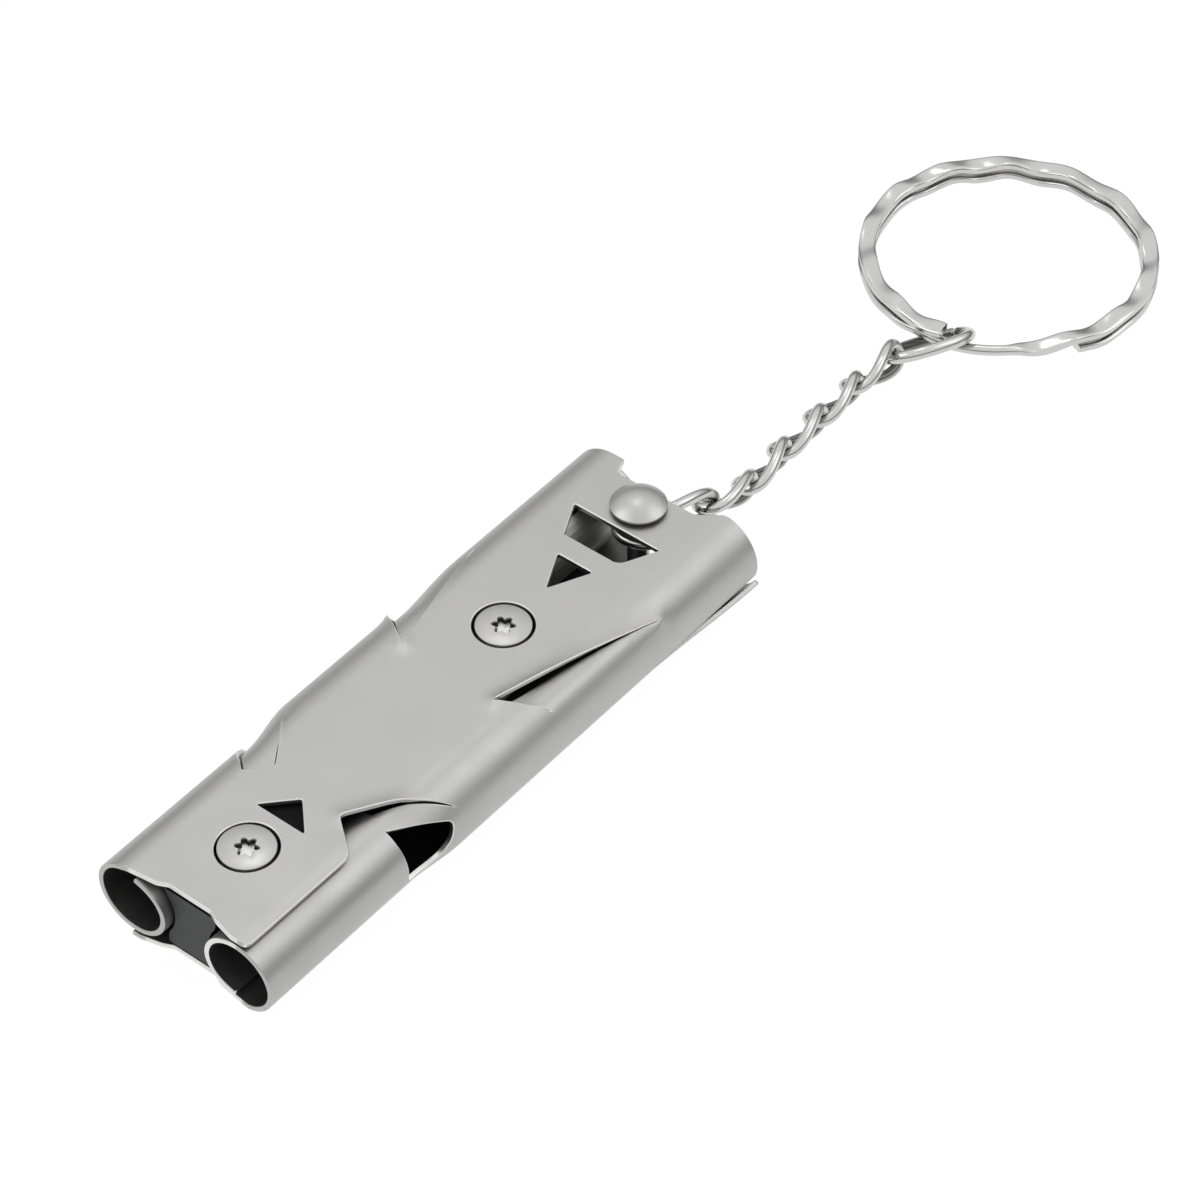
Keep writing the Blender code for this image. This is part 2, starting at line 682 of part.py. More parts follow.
def roll_centre(side):
    """Centre (y, z) of a blowing tube; side is 1 on the left, where the tube hangs from the top."""
    middle = BODY_HEIGHT - TUBE_RADIUS if side > 0 else TUBE_RADIUS
    return side * TUBE_SPACING / 2, middle


def roll_point(side, turn, inset):
    """Place (y, z) on a blowing tube at a turn from where it leaves its plate."""
    centre_y, centre_z = roll_centre(side)
    arm = TUBE_RADIUS - tuck(turn) - inset
    return centre_y + side * arm * math.sin(turn), centre_z + side * arm * math.cos(turn)


def core_side(side, height):
    """Half width of the core at a height, hollowed to follow the blowing tube beside it."""
    centre_y, centre_z = roll_centre(side)
    reach = TUBE_RADIUS + SEAT_GAP
    offset = abs(height - centre_z)
    hollow = math.sqrt(reach * reach - offset * offset) if offset < reach else 0.0
    return min(CORE_SIDE, abs(centre_y) - hollow)


def add_core(materials):
    """Moulded block between the tubes, bored for both screws."""
    low, high = SHEET + SEAT_GAP, BODY_HEIGHT - SHEET - SEAT_GAP
    heights = spread(low, high, CORE_STEPS)
    outline = [(core_side(1, z), z) for z in heights] + [(-core_side(-1, z), z) for z in heights[::-1]]
    end = BODY_LENGTH - CORE_END_FROM_END

    def build(shape):
        prism(shape, outline, CORE_START, end, axis="x")
    core = add_object("core", mesh_from(build), materials["dark_plastic"])
    bore = NUT_BARREL_DIAMETER / 2 + SEAT_GAP
    seat = SCREW_HEAD_DIAMETER / 2 + SEAT_GAP
    lower_seat, upper_seat = SCREW_HEAD_HEIGHT + SEAT_GAP, BODY_HEIGHT - SCREW_HEAD_HEIGHT - SEAT_GAP
    profile = [(0, 0), (seat, 0), (seat, lower_seat), (bore, lower_seat), (bore, upper_seat)]
    profile += [(seat, upper_seat), (seat, BODY_HEIGHT), (0, BODY_HEIGHT)]
    for name, x in (("front", FRONT_SCREW_AT), ("rear", REAR_SCREW_AT)):
        drill = add_object("drill_" + name, mesh_from(lambda shape: turned(shape, profile)),
                           materials["dark_plastic"], (x, 0, 0))
        cut(core, drill)
    return core


def add_windway_plug(name, side, angles, materials):
    """Moulded plug that fills a blowing tube but for a flat windway below its sound window."""
    inset = SHEET + SEAT_GAP
    end = (LEFT_NOTCH_NEAR[0] if side > 0 else TUBE_LENGTH) - SEAT_GAP
    turns = spread(0.0, math.tau, PLUG_POINTS)[:-1]
    middle = (angles[0] + angles[1]) / 2 if side > 0 else math.pi - (angles[0] + angles[1]) / 2
    centre_y, centre_z = roll_centre(side)
    flat = TUBE_RADIUS - inset - WINDWAY

    def build(shape):
        outline = []
        for turn in turns:
            y, z = roll_point(side, min(turn, ROLL_TURN), inset)
            arm = math.hypot(y - centre_y, z - centre_z)
            facing = math.cos(turn - middle)
            arm = min(arm, flat / facing) if facing > 0 else arm
            outline.append((centre_y + side * arm * math.sin(turn), centre_z + side * arm * math.cos(turn)))
        prism(shape, outline, PLUG_START, end, axis="x")
    return add_object(name, mesh_from(build), materials["black_plastic"])


def add_inner_wall(name, side, materials):
    """Curved wall that closes a sound tube on its inner side, between the two plates."""
    outer = BEND - SHEET - SEAT_GAP
    half = INNER_WALL_TURN / 2
    centre = side * FLAT
    facing = math.pi if side > 0 else 0.0

    def build(shape):
        outline = arc(centre, MID_HEIGHT, outer, facing - half, facing + half, WALL_STEPS)
        outline += arc(centre, MID_HEIGHT, outer - INNER_WALL, facing + half, facing - half, WALL_STEPS)
        start = LIP_END + SEAT_GAP
        end = BODY_LENGTH - END_PLUG_INSET - END_PLUG_LENGTH - SEAT_GAP
        prism(shape, outline, start, end, axis="x")
    return add_object(name, mesh_from(build), materials["satin_steel"])


def add_end_plug(name, side, materials):
    """Disc that closes the far end of a sound tube."""
    radius = BEND - SHEET - SEAT_GAP
    rim = radius - END_PLUG_CHAMFER
    top = END_PLUG_LENGTH - END_PLUG_CHAMFER
    profile = [(0, 0), (radius, 0), (radius, top), (rim, END_PLUG_LENGTH), (0, END_PLUG_LENGTH)]
    start = BODY_LENGTH - END_PLUG_INSET - END_PLUG_LENGTH
    plug = add_object(name, mesh_from(lambda shape: turned(shape, profile)), materials["satin_steel"],
                      (start, side * FLAT, MID_HEIGHT))
    plug.rotation_euler = (0, math.pi / 2, 0)
    return plug


def star_outline():
    """Six-lobed driver recess."""
    mean = (STAR_DIAMETER - STAR_WAVE) / 2
    turns = spread(0.0, math.tau, STAR_POINTS)[:-1]
    radii = [mean + STAR_WAVE / 2 * math.cos(STAR_LOBES * turn) for turn in turns]
    return [(r * math.cos(turn), r * math.sin(turn)) for r, turn in zip(radii, turns)]


def add_screw(name, x, materials):
    """Flush screw with a star recess, its head level with the top plate."""
    head, shank = SCREW_HEAD_DIAMETER / 2, SCREW_SHANK_DIAMETER / 2
    under_head = BODY_HEIGHT - SCREW_HEAD_HEIGHT
    profile = [(0, SCREW_TIP_LIFT), (shank, SCREW_TIP_LIFT), (shank, under_head), (head, under_head),
               (head, BODY_HEIGHT), (0, BODY_HEIGHT)]
    screw = add_object(name, mesh_from(lambda shape: turned(shape, profile)), materials["screw_steel"],
                       (x, 0, 0))
    low, high = BODY_HEIGHT - STAR_DEPTH, BODY_HEIGHT + STAR_DEPTH
    star = mesh_from(lambda shape: prism(shape, star_outline(), low, high))
    cut(screw, add_object(name + "_recess", star, materials["screw_steel"], (x, 0, 0)))
    return screw


def add_sleeve_nut(name, x, materials):
    """Barrel nut that takes the screw from the underside."""
    head, barrel = SCREW_HEAD_DIAMETER / 2, NUT_BARREL_DIAMETER / 2
    bore = SCREW_SHANK_DIAMETER / 2 + SEAT_GAP
    floor = SCREW_TIP_LIFT - SEAT_GAP
    rim = BODY_HEIGHT - SCREW_HEAD_HEIGHT - SEAT_GAP
    profile = [(0, 0), (head, 0), (head, SCREW_HEAD_HEIGHT), (barrel, SCREW_HEAD_HEIGHT),
               (barrel, rim), (bore, rim), (bore, floor), (0, floor)]
    nut = mesh_from(lambda shape: turned(shape, profile))
    return add_object(name, nut, materials["screw_steel"], (x, 0, 0))


def add_rivet(materials):
    """Domed rivet through both plates, its shank level with the under plate."""
    shank, head = RIVET_DIAMETER / 2, RIVET_HEAD_DIAMETER / 2
    seat = BODY_HEIGHT + SEAT_GAP
    crown = seat + RIVET_RIM
    sphere = (head * head + RIVET_DOME * RIVET_DOME) / (2 * RIVET_DOME)
    sweep = math.asin(head / sphere)
    dome = [(sphere * math.sin(a), crown + RIVET_DOME - sphere * (1 - math.cos(a)))
            for a in spread(sweep, 0.0, DOME_STEPS)[:-1]]
    profile = [(0, 0), (shank, 0), (shank, seat), (head, seat)] + dome + [(0, crown + RIVET_DOME)]
    return add_object("rivet", mesh_from(lambda shape: turned(shape, profile)),
                      materials["screw_steel"], (RIVET_AT, 0, 0))


def round_wire(points, diameter, closed=True):
    """Curve of round wire through points; an open one has flat ends."""
    curve = bpy.data.curves.new("wire", "CURVE")
    curve.dimensions = "3D"
    curve.bevel_depth = diameter / 2
    curve.bevel_resolution = WIRE_RESOLUTION
    curve.use_fill_caps = not closed
    spline = curve.splines.new("POLY")
    spline.points.add(len(points) - 1)
    for point, place in zip(spline.points, points):
        point.co = (*place, 1.0)
    spline.use_cyclic_u = closed
    return curve


def oval_point(turn, half, side, leans, near):
    """Place on an oval link along X from its near end, leaning more from end to end."""
    along = half + half * math.cos(turn)
    across = side * math.sin(turn) * (1 + LINK_FULLNESS * math.cos(turn) ** 2)
    lean = mix(*leans, along / half / 2)
    return along + near, across * math.cos(lean), across * math.sin(lean)


def link_wire(length, width, leans, near=-HALF_JOINT):
    """Closed link of the chain's wire."""
    half, side = (length - LINK_WIRE) / 2, (width - LINK_WIRE) / 2
    turns = [math.tau * (k + 0.5) / LINK_POINTS for k in range(LINK_POINTS)]
    return round_wire([oval_point(turn, half, side, leans, near) for turn in turns], LINK_WIRE)


def loop_wire():
    """Open loop of thicker wire, its two ends meeting at a narrow split."""
    half, side = (LOOP_LENGTH - LOOP_WIRE) / 2, (LOOP_WIDTH - LOOP_WIRE) / 2
    gap = LOOP_SPLIT / half
    turns = spread(LOOP_SPLIT_TURN + gap / 2, LOOP_SPLIT_TURN + math.tau - gap / 2, LINK_POINTS)
    leans = (LOOP_LEAN, LOOP_LEAN)
    points = [oval_point(turn, half, side, leans, -HALF_JOINT) for turn in turns]
    return round_wire(points, LOOP_WIRE, closed=False)


def direction(heading, slope):
    """Unit vector along a heading seen from above, dipping by a slope."""
    level = math.cos(slope)
    return Vector((math.cos(heading) * level, math.sin(heading) * level, -math.sin(slope)))


def chain_places():
    """Pivot, heading and slope of each link and of the end loop, in order from the rivet."""
    behind_rivet = (RIVET_DIAMETER + LINK_WIRE) / 2 + LINK_GAP
    first = FIRST_LINK_LENGTH - LINK_WIRE - behind_rivet - HALF_JOINT
    pitch = LINK_LENGTH - LINK_WIRE - 2 * HALF_JOINT
    first_height = BODY_HEIGHT - FIRST_LINK_DROP
    resting_height = LINK_WIDTH / 2 + CHAIN_FLOOR_GAP
    drop = first_height - resting_height
    drops = {1: SECOND_LINK_DIP * drop, 2: (1 - SECOND_LINK_DIP) * drop}
    here = Vector((RIVET_AT, 0, first_height))
    places = []
    for k, heading in enumerate(LINK_HEADINGS + (LOOP_HEADING,)):
        turn = math.radians(heading)
        dip = math.asin(drops.get(k, 0.0) / pitch)
        places.append((here.copy(), turn, dip))
        here += direction(turn, dip) * (pitch if k else first)
    return places


def add_chain(steel):
    """Links named in order; each has its origin at its pivot and points along its own X axis."""
    places = chain_places()
    behind_rivet = (RIVET_DIAMETER + LINK_WIRE) / 2 + LINK_GAP
    wires = [link_wire(FIRST_LINK_LENGTH, FIRST_LINK_WIDTH, FIRST_LINK_LEANS, -behind_rivet)]
    leans = [SECOND_LINK_LEANS] + [LINK_LEANS] * (len(LINK_HEADINGS) - 3) + [LAST_LINK_LEANS]
    wires += [link_wire(LINK_LENGTH, LINK_WIDTH, pair) for pair in leans]
    names = [f"chain_link_{k + 1}" for k in range(len(wires))]
    for name, wire, (pivot, heading, dip) in zip(names + ["end_loop"], wires + [loop_wire()], places):
        link = add_object(name, wire, steel, pivot)
        link.rotation_euler = (0, dip, heading)
    return places[-1]


def ring_flatness(turn):
    """How flat the strip is at a turn from the loop: 0 on its round part at the loop, else 1."""
    start, end = RING_WIRE_SPAN
    away = abs(turn - math.tau - (start + end) / 2) - (end - start) / 2
    return smooth(away / RING_WIRE_BLEND)


def ring_section(flat):
    """Section of the ring's strip, from round wire at 0 to a flat strip with soft edges at 1."""
    wide = mix(RING_WIRE, RING_STRIP, flat) / 2
    high = mix(RING_WIRE, RING_STRIP_THICKNESS, flat) / 2
    power = mix(1.0, RING_SQUARENESS, flat)
    points = []
    for k in range(RING_SECTION_POINTS):
        angle = math.tau * (k + 0.5) / RING_SECTION_POINTS
        out, up = math.cos(angle), math.sin(angle)
        points.append((wide * math.copysign(abs(out) ** power, out),
                       high * math.copysign(abs(up) ** power, up)))
    return points


def ring_level(turn):
    """Height of the strip's middle: it climbs past the first coil between the strip's two ends."""
    share = (turn - math.tau - RING_UPPER_END) / (RING_LOWER_END - RING_UPPER_END)
    return (RING_STRIP_THICKNESS + RING_COIL_GAP) * smooth(share)


def add_split_ring(loop_place, steel):
    """Wavy strip wound twice round, one coil on the other; its origin is where the loop holds it.

    The strip starts under the ring a little beyond the loop, passes through the loop as plain wire
    after most of a turn, climbs and goes round again on top of itself and ends just before the loop.
    """
    pivot, heading, _ = loop_place
    reach = LOOP_LENGTH - LOOP_WIRE - HALF_JOINT - RING_STRIP / 2 - RING_PLAY
    hold = pivot + direction(heading, 0) * reach - Vector((0, 0, RING_SAG))
    radius = (RING_DIAMETER - RING_STRIP) / 2
    first, last = RING_LOWER_END, 2 * math.tau + RING_UPPER_END
    count = round((last - first) / math.tau * RING_POINTS_PER_TURN)
    at_loop = ring_level(math.tau)
    resting = at_loop + RING_STRIP_THICKNESS / 2 + RING_WAVE + RING_FLOOR_GAP

    def build(shape):
        loops = []
        for turn in spread(first, last, count):
            flat = ring_flatness(turn)
            level = ring_level(turn) - at_loop + flat * RING_WAVE * math.cos(RING_WAVES * turn)
            loops.append([shape.verts.new((radius - (radius + out) * math.cos(turn),
                                           -(radius + out) * math.sin(turn), level + up))
                          for out, up in ring_section(flat)])
        for before, after in zip(loops, loops[1:]):
            for j in range(RING_SECTION_POINTS):
                i = (j + 1) % RING_SECTION_POINTS
                shape.faces.new((before[j], before[i], after[i], after[j]))
        shape.faces.new(loops[0])
        shape.faces.new(loops[-1][::-1])
    ring = add_object("split_ring", mesh_from(build), steel, hold)
    lift = math.asin((hold.z - resting) / (2 * radius + RING_STRIP / 2))
    ring.rotation_euler = (0, lift, RING_HEADING)


def set_origin():
    """Parent every piece to a frame that puts the origin at the middle of the flat underside."""
    frame = bpy.data.objects.new("whistle", None)
    pieces = list(bpy.context.scene.collection.objects)
    bpy.context.scene.collection.objects.link(frame)
    frame.location = (-BODY_LENGTH / 2, 0, 0)
    for piece in pieces:
        piece.parent = frame
    bpy.context.view_layer.update()


def main():
    clear_scene()
    materials = make_materials()
    add_object("body_shell", body_shell_mesh(), materials["satin_steel"])
    add_core(materials)
    for name, side, angles in (("left", 1, LEFT_WINDOW), ("right", -1, RIGHT_WINDOW)):
        add_windway_plug("windway_plug_" + name, side, angles, materials)
        add_inner_wall("inner_wall_" + name, side, materials)
        add_end_plug("end_plug_" + name, side, materials)
    for name, x in (("front", FRONT_SCREW_AT), ("rear", REAR_SCREW_AT)):
        add_screw("screw_" + name, x, materials)
        add_sleeve_nut("sleeve_nut_" + name, x, materials)
    add_rivet(materials)
    loop_place = add_chain(materials["polished_steel"])
    add_split_ring(loop_place, materials["polished_steel"])
    set_origin()


if __name__ == "__main__":
    main()
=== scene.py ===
"""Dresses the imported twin-tube whistle: rolled sheet body, screws, rivet, twisted chain and ring.

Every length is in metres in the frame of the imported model. The body is laid out from its mouth end
(x = 0) and shifted by half its length, because the frame's origin is the middle of its underside.
"""
import json
import logging
import math
from collections.abc import Callable
from dataclasses import dataclass
from enum import Enum

import bpy
import numpy as np
from mathutils import Matrix, Quaternion, Vector
from mathutils.geometry import delaunay_2d_cdt


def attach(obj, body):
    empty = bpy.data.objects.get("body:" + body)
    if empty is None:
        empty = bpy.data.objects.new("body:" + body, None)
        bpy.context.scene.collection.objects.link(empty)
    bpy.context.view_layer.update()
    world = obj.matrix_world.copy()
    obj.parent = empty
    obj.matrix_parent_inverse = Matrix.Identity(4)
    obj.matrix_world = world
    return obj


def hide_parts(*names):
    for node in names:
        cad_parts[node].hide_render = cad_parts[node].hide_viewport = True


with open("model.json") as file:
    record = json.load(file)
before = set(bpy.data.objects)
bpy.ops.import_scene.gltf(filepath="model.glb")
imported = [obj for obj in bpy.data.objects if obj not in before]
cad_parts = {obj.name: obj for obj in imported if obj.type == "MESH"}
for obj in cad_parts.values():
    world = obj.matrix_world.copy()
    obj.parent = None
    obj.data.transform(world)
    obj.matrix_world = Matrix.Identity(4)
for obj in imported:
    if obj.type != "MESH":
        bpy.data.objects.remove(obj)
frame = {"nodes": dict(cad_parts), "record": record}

LOG = logging.getLogger("whistle")
MM = 0.001
# Point attributes: how much lighter a point is painted, as rubbed metal and painted highlight, and how much
# painted shade it has
EDGE = "edge"
PAINTED_SHADE = "inside"
SHARP_ANGLE = math.radians(32)
BROKEN_EDGE = 0.08 * MM
BROKEN_EDGE_STEPS = 2
MOUTH_FACING = -0.5

# How far a rounding may reach along a side, how sharp a turn a slit may make, and how much of a
# wire's radius the chamfer at its ends takes
FILLET_SHARE = 0.45
SLIT_STRETCH = 0.35
WIRE_CHAMFER = 0.25

# Tolerances: on the number of pieces of a line, for the triangles in millimetres, for the weld in
# metres, and the digits that two rows of the grid have to share
COUNT_SLACK = 1e-6
CUT_TOLERANCE = 1e-4
WELD_REACH = 1e-6
ROW_DIGITS = 9

# Sockets of a mix node, which can't be told apart by their names
MIX_NUMBERS = (2, 3)
MIX_COLOURS = (6, 7)
MIXED_COLOUR = 2
WHITE = (1.0, 1.0, 1.0, 1.0)

Flat = tuple[float, float]
Pair = tuple[float, float]
Triple = tuple[float, float, float]
Triangle = tuple[int, int, int]
Rings = list[list[Vector]]
Skin = tuple[list[Vector], list[tuple[int, ...]]]


class Slot(Enum):
    """Material slots of the record that pieces take their finish from."""

    SATIN = "satin_steel"
    POLISHED = "polished_steel"
    SCREW = "screw_steel"
    PLASTIC = "dark_plastic"
    BLACK = "black_plastic"


class Side(Enum):
    """The two sides of the body, with the sign of their Y."""

    LEFT = 1
    RIGHT = -1


def mix(start: float, end: float, share: float) -> float:
    """Value a share of the way from start to end."""
    return start + (end - start) * share


def smooth(value: float) -> float:
    """Smooth step from 0 to 1."""
    value = min(max(value, 0.0), 1.0)
    return value * value * (3.0 - 2.0 * value)


def spread(start: float, end: float, count: int) -> list[float]:
    """Evenly spaced values, both ends included."""
    return [mix(start, end, k / count) for k in range(count + 1)]


def link_to_scene(item: bpy.types.Object) -> bpy.types.Object:
    """Put an object in the scene's own collection and return it."""
    bpy.context.scene.collection.objects.link(item)
    return item


def placed(where: Vector, turn: float, dip: float) -> Matrix:
    """Place that looks along X, turned about Z and then dipped."""
    return Matrix.Translation(where) @ Matrix.Rotation(turn, 4, "Z") @ Matrix.Rotation(dip, 4, "Y")


# Flat outlines


def circle(centre_x: float, centre_y: float, radius: float, count: int = 72) -> list[Flat]:
    """Closed circle as points.

    Args:
        centre_x: place of the centre along the blank.
        centre_y: place of the centre across the blank.
        radius: radius of the circle.
        count: number of points.

    Returns:
        The points in order.
    """
    turns = [math.tau * k / count for k in range(count)]
    return [(centre_x + radius * math.cos(t), centre_y + radius * math.sin(t)) for t in turns]


def fillet(points: list[Flat], radii: list[float], steps: int = 8) -> list[Flat]:
    """Closed outline with its corners rounded.

    Args:
        points: corners in order.
        radii: reach of the rounding at each corner, 0 for a sharp one.
        steps: pieces of each rounding.

    Returns:
        The rounded outline.
    """
    rounded: list[Flat] = []
    count = len(points)
    for k, radius in enumerate(radii):
        corner = Vector(points[k])
        before = Vector(points[k - 1]) - corner
        after = Vector(points[(k + 1) % count]) - corner
        if radius == 0 or before.length == 0 or after.length == 0:
            rounded.append(tuple(corner))
            continue
        reach = min(radius, before.length * FILLET_SHARE, after.length * FILLET_SHARE)
        start = corner + before.normalized() * reach
        end = corner + after.normalized() * reach
        for j in range(steps + 1):
            share = j / steps
            first, second = start.lerp(corner, share), corner.lerp(end, share)
            rounded.append(tuple(first.lerp(second, share)))
    return rounded


def slit(points: list[Flat], width: float) -> list[Flat]:
    """Narrow closed outline along a bent line, pointed at both ends.

    Args:
        points: the line's corners.
        width: width of the slit.

    Returns:
        The slit's outline.
    """
    sides: tuple[list[Flat], list[Flat]] = ([], [])
    for k in range(1, len(points) - 1):
        here = Vector(points[k])
        before = (here - Vector(points[k - 1])).normalized()
        after = (Vector(points[k + 1]) - here).normalized()
        across = (before + after).normalized()
        normal = Vector((-across.y, across.x))
        stretch = max(abs(normal.dot(Vector((-before.y, before.x)))), SLIT_STRETCH)
        for side, sign in zip(sides, (1, -1)):
            side.append(tuple(here + normal * sign * width / 2 / stretch))
    return [tuple(points[0])] + sides[0] + [tuple(points[-1])] + sides[1][::-1]


def bent(line: list[Flat], corner: int, reach: float, steps: int = 6) -> list[Flat]:
    """Open line with one of its corners rounded.

    Args:
        line: the line's corners.
        corner: which corner is rounded.
        reach: how far from the corner the rounding starts.
        steps: pieces of the rounding.

    Returns:
        The line with the rounding.
    """
    tip = Vector(line[corner])
    start = tip + (Vector(line[corner - 1]) - tip).normalized() * reach
    end = tip + (Vector(line[corner + 1]) - tip).normalized() * reach
    rounding = []
    for share in spread(0, 1, steps):
        rounding.append(tuple(start.lerp(tip, share).lerp(tip.lerp(end, share), share)))
    return line[:corner] + rounding + line[corner + 1:]


def holds(outline: list[Flat], point: Flat) -> bool:
    """Whether a closed outline holds a point.

    Args:
        outline: the outline's points.
        point: the place that is asked about.

    Returns:
        True where the outline holds it.
    """
    x, y = point
    found = False
    for (ax, ay), (bx, by) in zip(outline, outline[1:] + outline[:1]):
        if (ay > y) != (by > y) and x < ax + (bx - ax) * (y - ay) / (by - ay):
            found = not found
    return found


def held_points(outline: list[Flat], points: np.ndarray) -> np.ndarray:
    """Which of many points a closed outline holds.

    Args:
        outline: the outline's points.
        points: an array of points, one to a row.

    Returns:
        One truth value for each point.
    """
    inside = np.zeros(len(points), bool)
    for (ax, ay), (bx, by) in zip(outline, outline[1:] + outline[:1]):
        if ay == by:
            continue
        crosses = (ay > points[:, 1]) != (by > points[:, 1])
        edge_x = ax + (bx - ax) * (points[:, 1] - ay) / (by - ay)
        inside ^= crosses & (points[:, 0] < edge_x)
    return inside


def distance_to(outline: list[Flat], points: np.ndarray) -> np.ndarray:
    """Distance of many points from a closed outline.

    Args:
        outline: the outline's points.
        points: an array of points, one to a row.

    Returns:
        The distance of each point.
    """
    nearest = np.full(len(points), np.inf)
    for start, end in zip(outline, outline[1:] + outline[:1]):
        a, run = np.array(start), np.array(end) - np.array(start)
        length = float(run @ run)
        share = np.clip((points - a) @ run / length, 0, 1) if length > 0 else np.zeros(len(points))
        nearest = np.minimum(nearest, np.hypot(*(points - a - share[:, None] * run).T))
    return nearest


def divided(outline: list[Flat], step: float) -> list[Flat]:
    """Closed outline with extra points, so that no piece of it is longer than a step.

    Args:
        outline: the outline's points.
        step: longest piece that stays whole.

    Returns:
        The points with the new ones between them.
    """
    fine: list[Flat] = []
    for (ax, ay), (bx, by) in zip(outline, outline[1:] + outline[:1]):
        count = max(1, math.ceil(math.hypot(bx - ax, by - ay) / step - COUNT_SLACK))
        fine += [(mix(ax, bx, k / count), mix(ay, by, k / count)) for k in range(count)]
    return fine


def mirrored(points: list[Flat]) -> list[Flat]:
    """The same places on the left half of the blank."""
    return [(x, -across) for x, across in points]


# Solid skins


def skin(rings: Rings, closed: bool = False) -> Skin:
    """Skin over rings of equal size.

    Args:
        rings: the rings, each running anticlockwise seen from the next one.
        closed: whether the last ring joins the first; otherwise both ends get a flat cap.

    Returns:
        Points and faces that look outwards.
    """
    points = [point for ring in rings for point in ring]
    size = len(rings[0])
    faces: list[tuple[int, ...]] = []
    for k in range(len(rings) if closed else len(rings) - 1):
        here, there = k * size, (k + 1) % len(rings) * size
        for j in range(size):
            i = (j + 1) % size
            faces.append((here + j, here + i, there + i, there + j))
    if not closed:
        faces += [tuple(range(size))[::-1], tuple(range(len(points) - size, len(points)))]
    return points, faces


def turned(profile: list[tuple[float, ...]], place: Matrix, lobes: int = 6, count: int = 96) -> Rings:
    """Rings turned about the Z axis.

    Args:
        profile: radius and height of each ring, with the height of its lobes where it has them.
        place: where the axis stands.
        lobes: number of lobes round a ring.
        count: points to a ring.

    Returns:
        The placed rings.
    """
    rings = []
    for radius, height, *wave in profile:
        ring = []
        for k in range(count):
            turn = math.tau * k / count
            reach = radius + (wave[0] * math.cos(lobes * turn) if wave else 0.0)
            ring.append(place @ Vector((reach * math.cos(turn), reach * math.sin(turn), height)))
        rings.append(ring)
    return rings


def wire(line: list[Vector], ups: list[Vector], radius: float, closed: bool, count: int = 20) -> Rings:
    """Rings of round wire along a line.

    Args:
        line: middle of the wire.
        ups: a direction across the wire at each place, along which its rings line up.
        radius: radius of the wire.
        closed: whether the line is a loop; otherwise both ends are chamfered.
        count: points to a ring.

    Returns:
        The rings in order.
    """
    rings = []
    last = len(line) - 1
    for k, middle in enumerate(line):
        before = line[k - 1] if closed or k else line[k]
        after = line[(k + 1) % len(line)] if closed or k < last else line[k]
        along = (after - before).normalized()
        side = ups[k].cross(along).normalized()
        up = along.cross(side)
        if closed or 0 < k < last:
            cuts = [0.0]
        else:
            cuts = [0.0, WIRE_CHAMFER] if k else [WIRE_CHAMFER, 0.0]
        for cut in cuts:
            arm = radius * (1 - cut)
            shift = Vector()
            if len(cuts) > 1:
                shift = along * radius * (WIRE_CHAMFER - cut) * (1 if k else -1)
            ring = []
            for j in range(count):
                turn = math.tau * j / count
                ring.append(middle - shift + (side * math.cos(turn) + up * math.sin(turn)) * arm)
            rings.append(ring)
    return rings


def shaded_mesh(name: str, made: Skin, wear_and_highlight: list[float], painted_shade: list[float]) -> bpy.types.Mesh:
    """Smooth mesh that keeps what its finish shows at each point.

    Args:
        name: name of the mesh.
        made: its points and faces.
        wear_and_highlight: how much lighter each point is painted, as rubbed metal and painted highlight,
            from 0 to 1.
        painted_shade: how much painted shade each point has, from 0 to 1.

    Returns:
        The mesh.
    """
    mesh = bpy.data.meshes.new(name)
    mesh.from_pydata(made[0], [], made[1])
    # Stores how much lighter each point is painted, as rubbed metal and painted highlight, and how much
    # painted shade it has
    for attribute, values in ((EDGE, wear_and_highlight), (PAINTED_SHADE, painted_shade)):
        mesh.attributes.new(attribute, "FLOAT", "POINT").data.foreach_set("value", values)
    mesh.shade_smooth()
    return mesh


def add_piece(name: str, body: str, node: str, slot: Slot, made: Skin, finish: bpy.types.Material,
              wear_and_highlight: float = 0.0, painted_shade: list[float] | None = None) -> bpy.types.Object:
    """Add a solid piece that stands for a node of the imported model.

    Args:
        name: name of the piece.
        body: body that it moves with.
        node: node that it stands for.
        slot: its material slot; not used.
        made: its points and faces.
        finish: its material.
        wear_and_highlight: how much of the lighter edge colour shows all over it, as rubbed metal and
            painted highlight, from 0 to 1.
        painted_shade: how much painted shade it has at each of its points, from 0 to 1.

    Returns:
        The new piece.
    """
    count = len(made[0])
    mesh = shaded_mesh(name, made, [wear_and_highlight] * count, painted_shade or [0.0] * count)
    mesh.set_sharp_from_angle(angle=SHARP_ANGLE)
    mesh.materials.append(finish)
    piece = link_to_scene(bpy.data.objects.new(name, mesh))
    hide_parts(node)
    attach(piece, body)
    return piece


# The rolled sheet body


@dataclass(frozen=True)
class Blank:
    """One flat sheet before it is rolled."""

    outline: list[Flat]
    holes: list[list[Flat]]
    rolled: Side
    first: float
    last: float


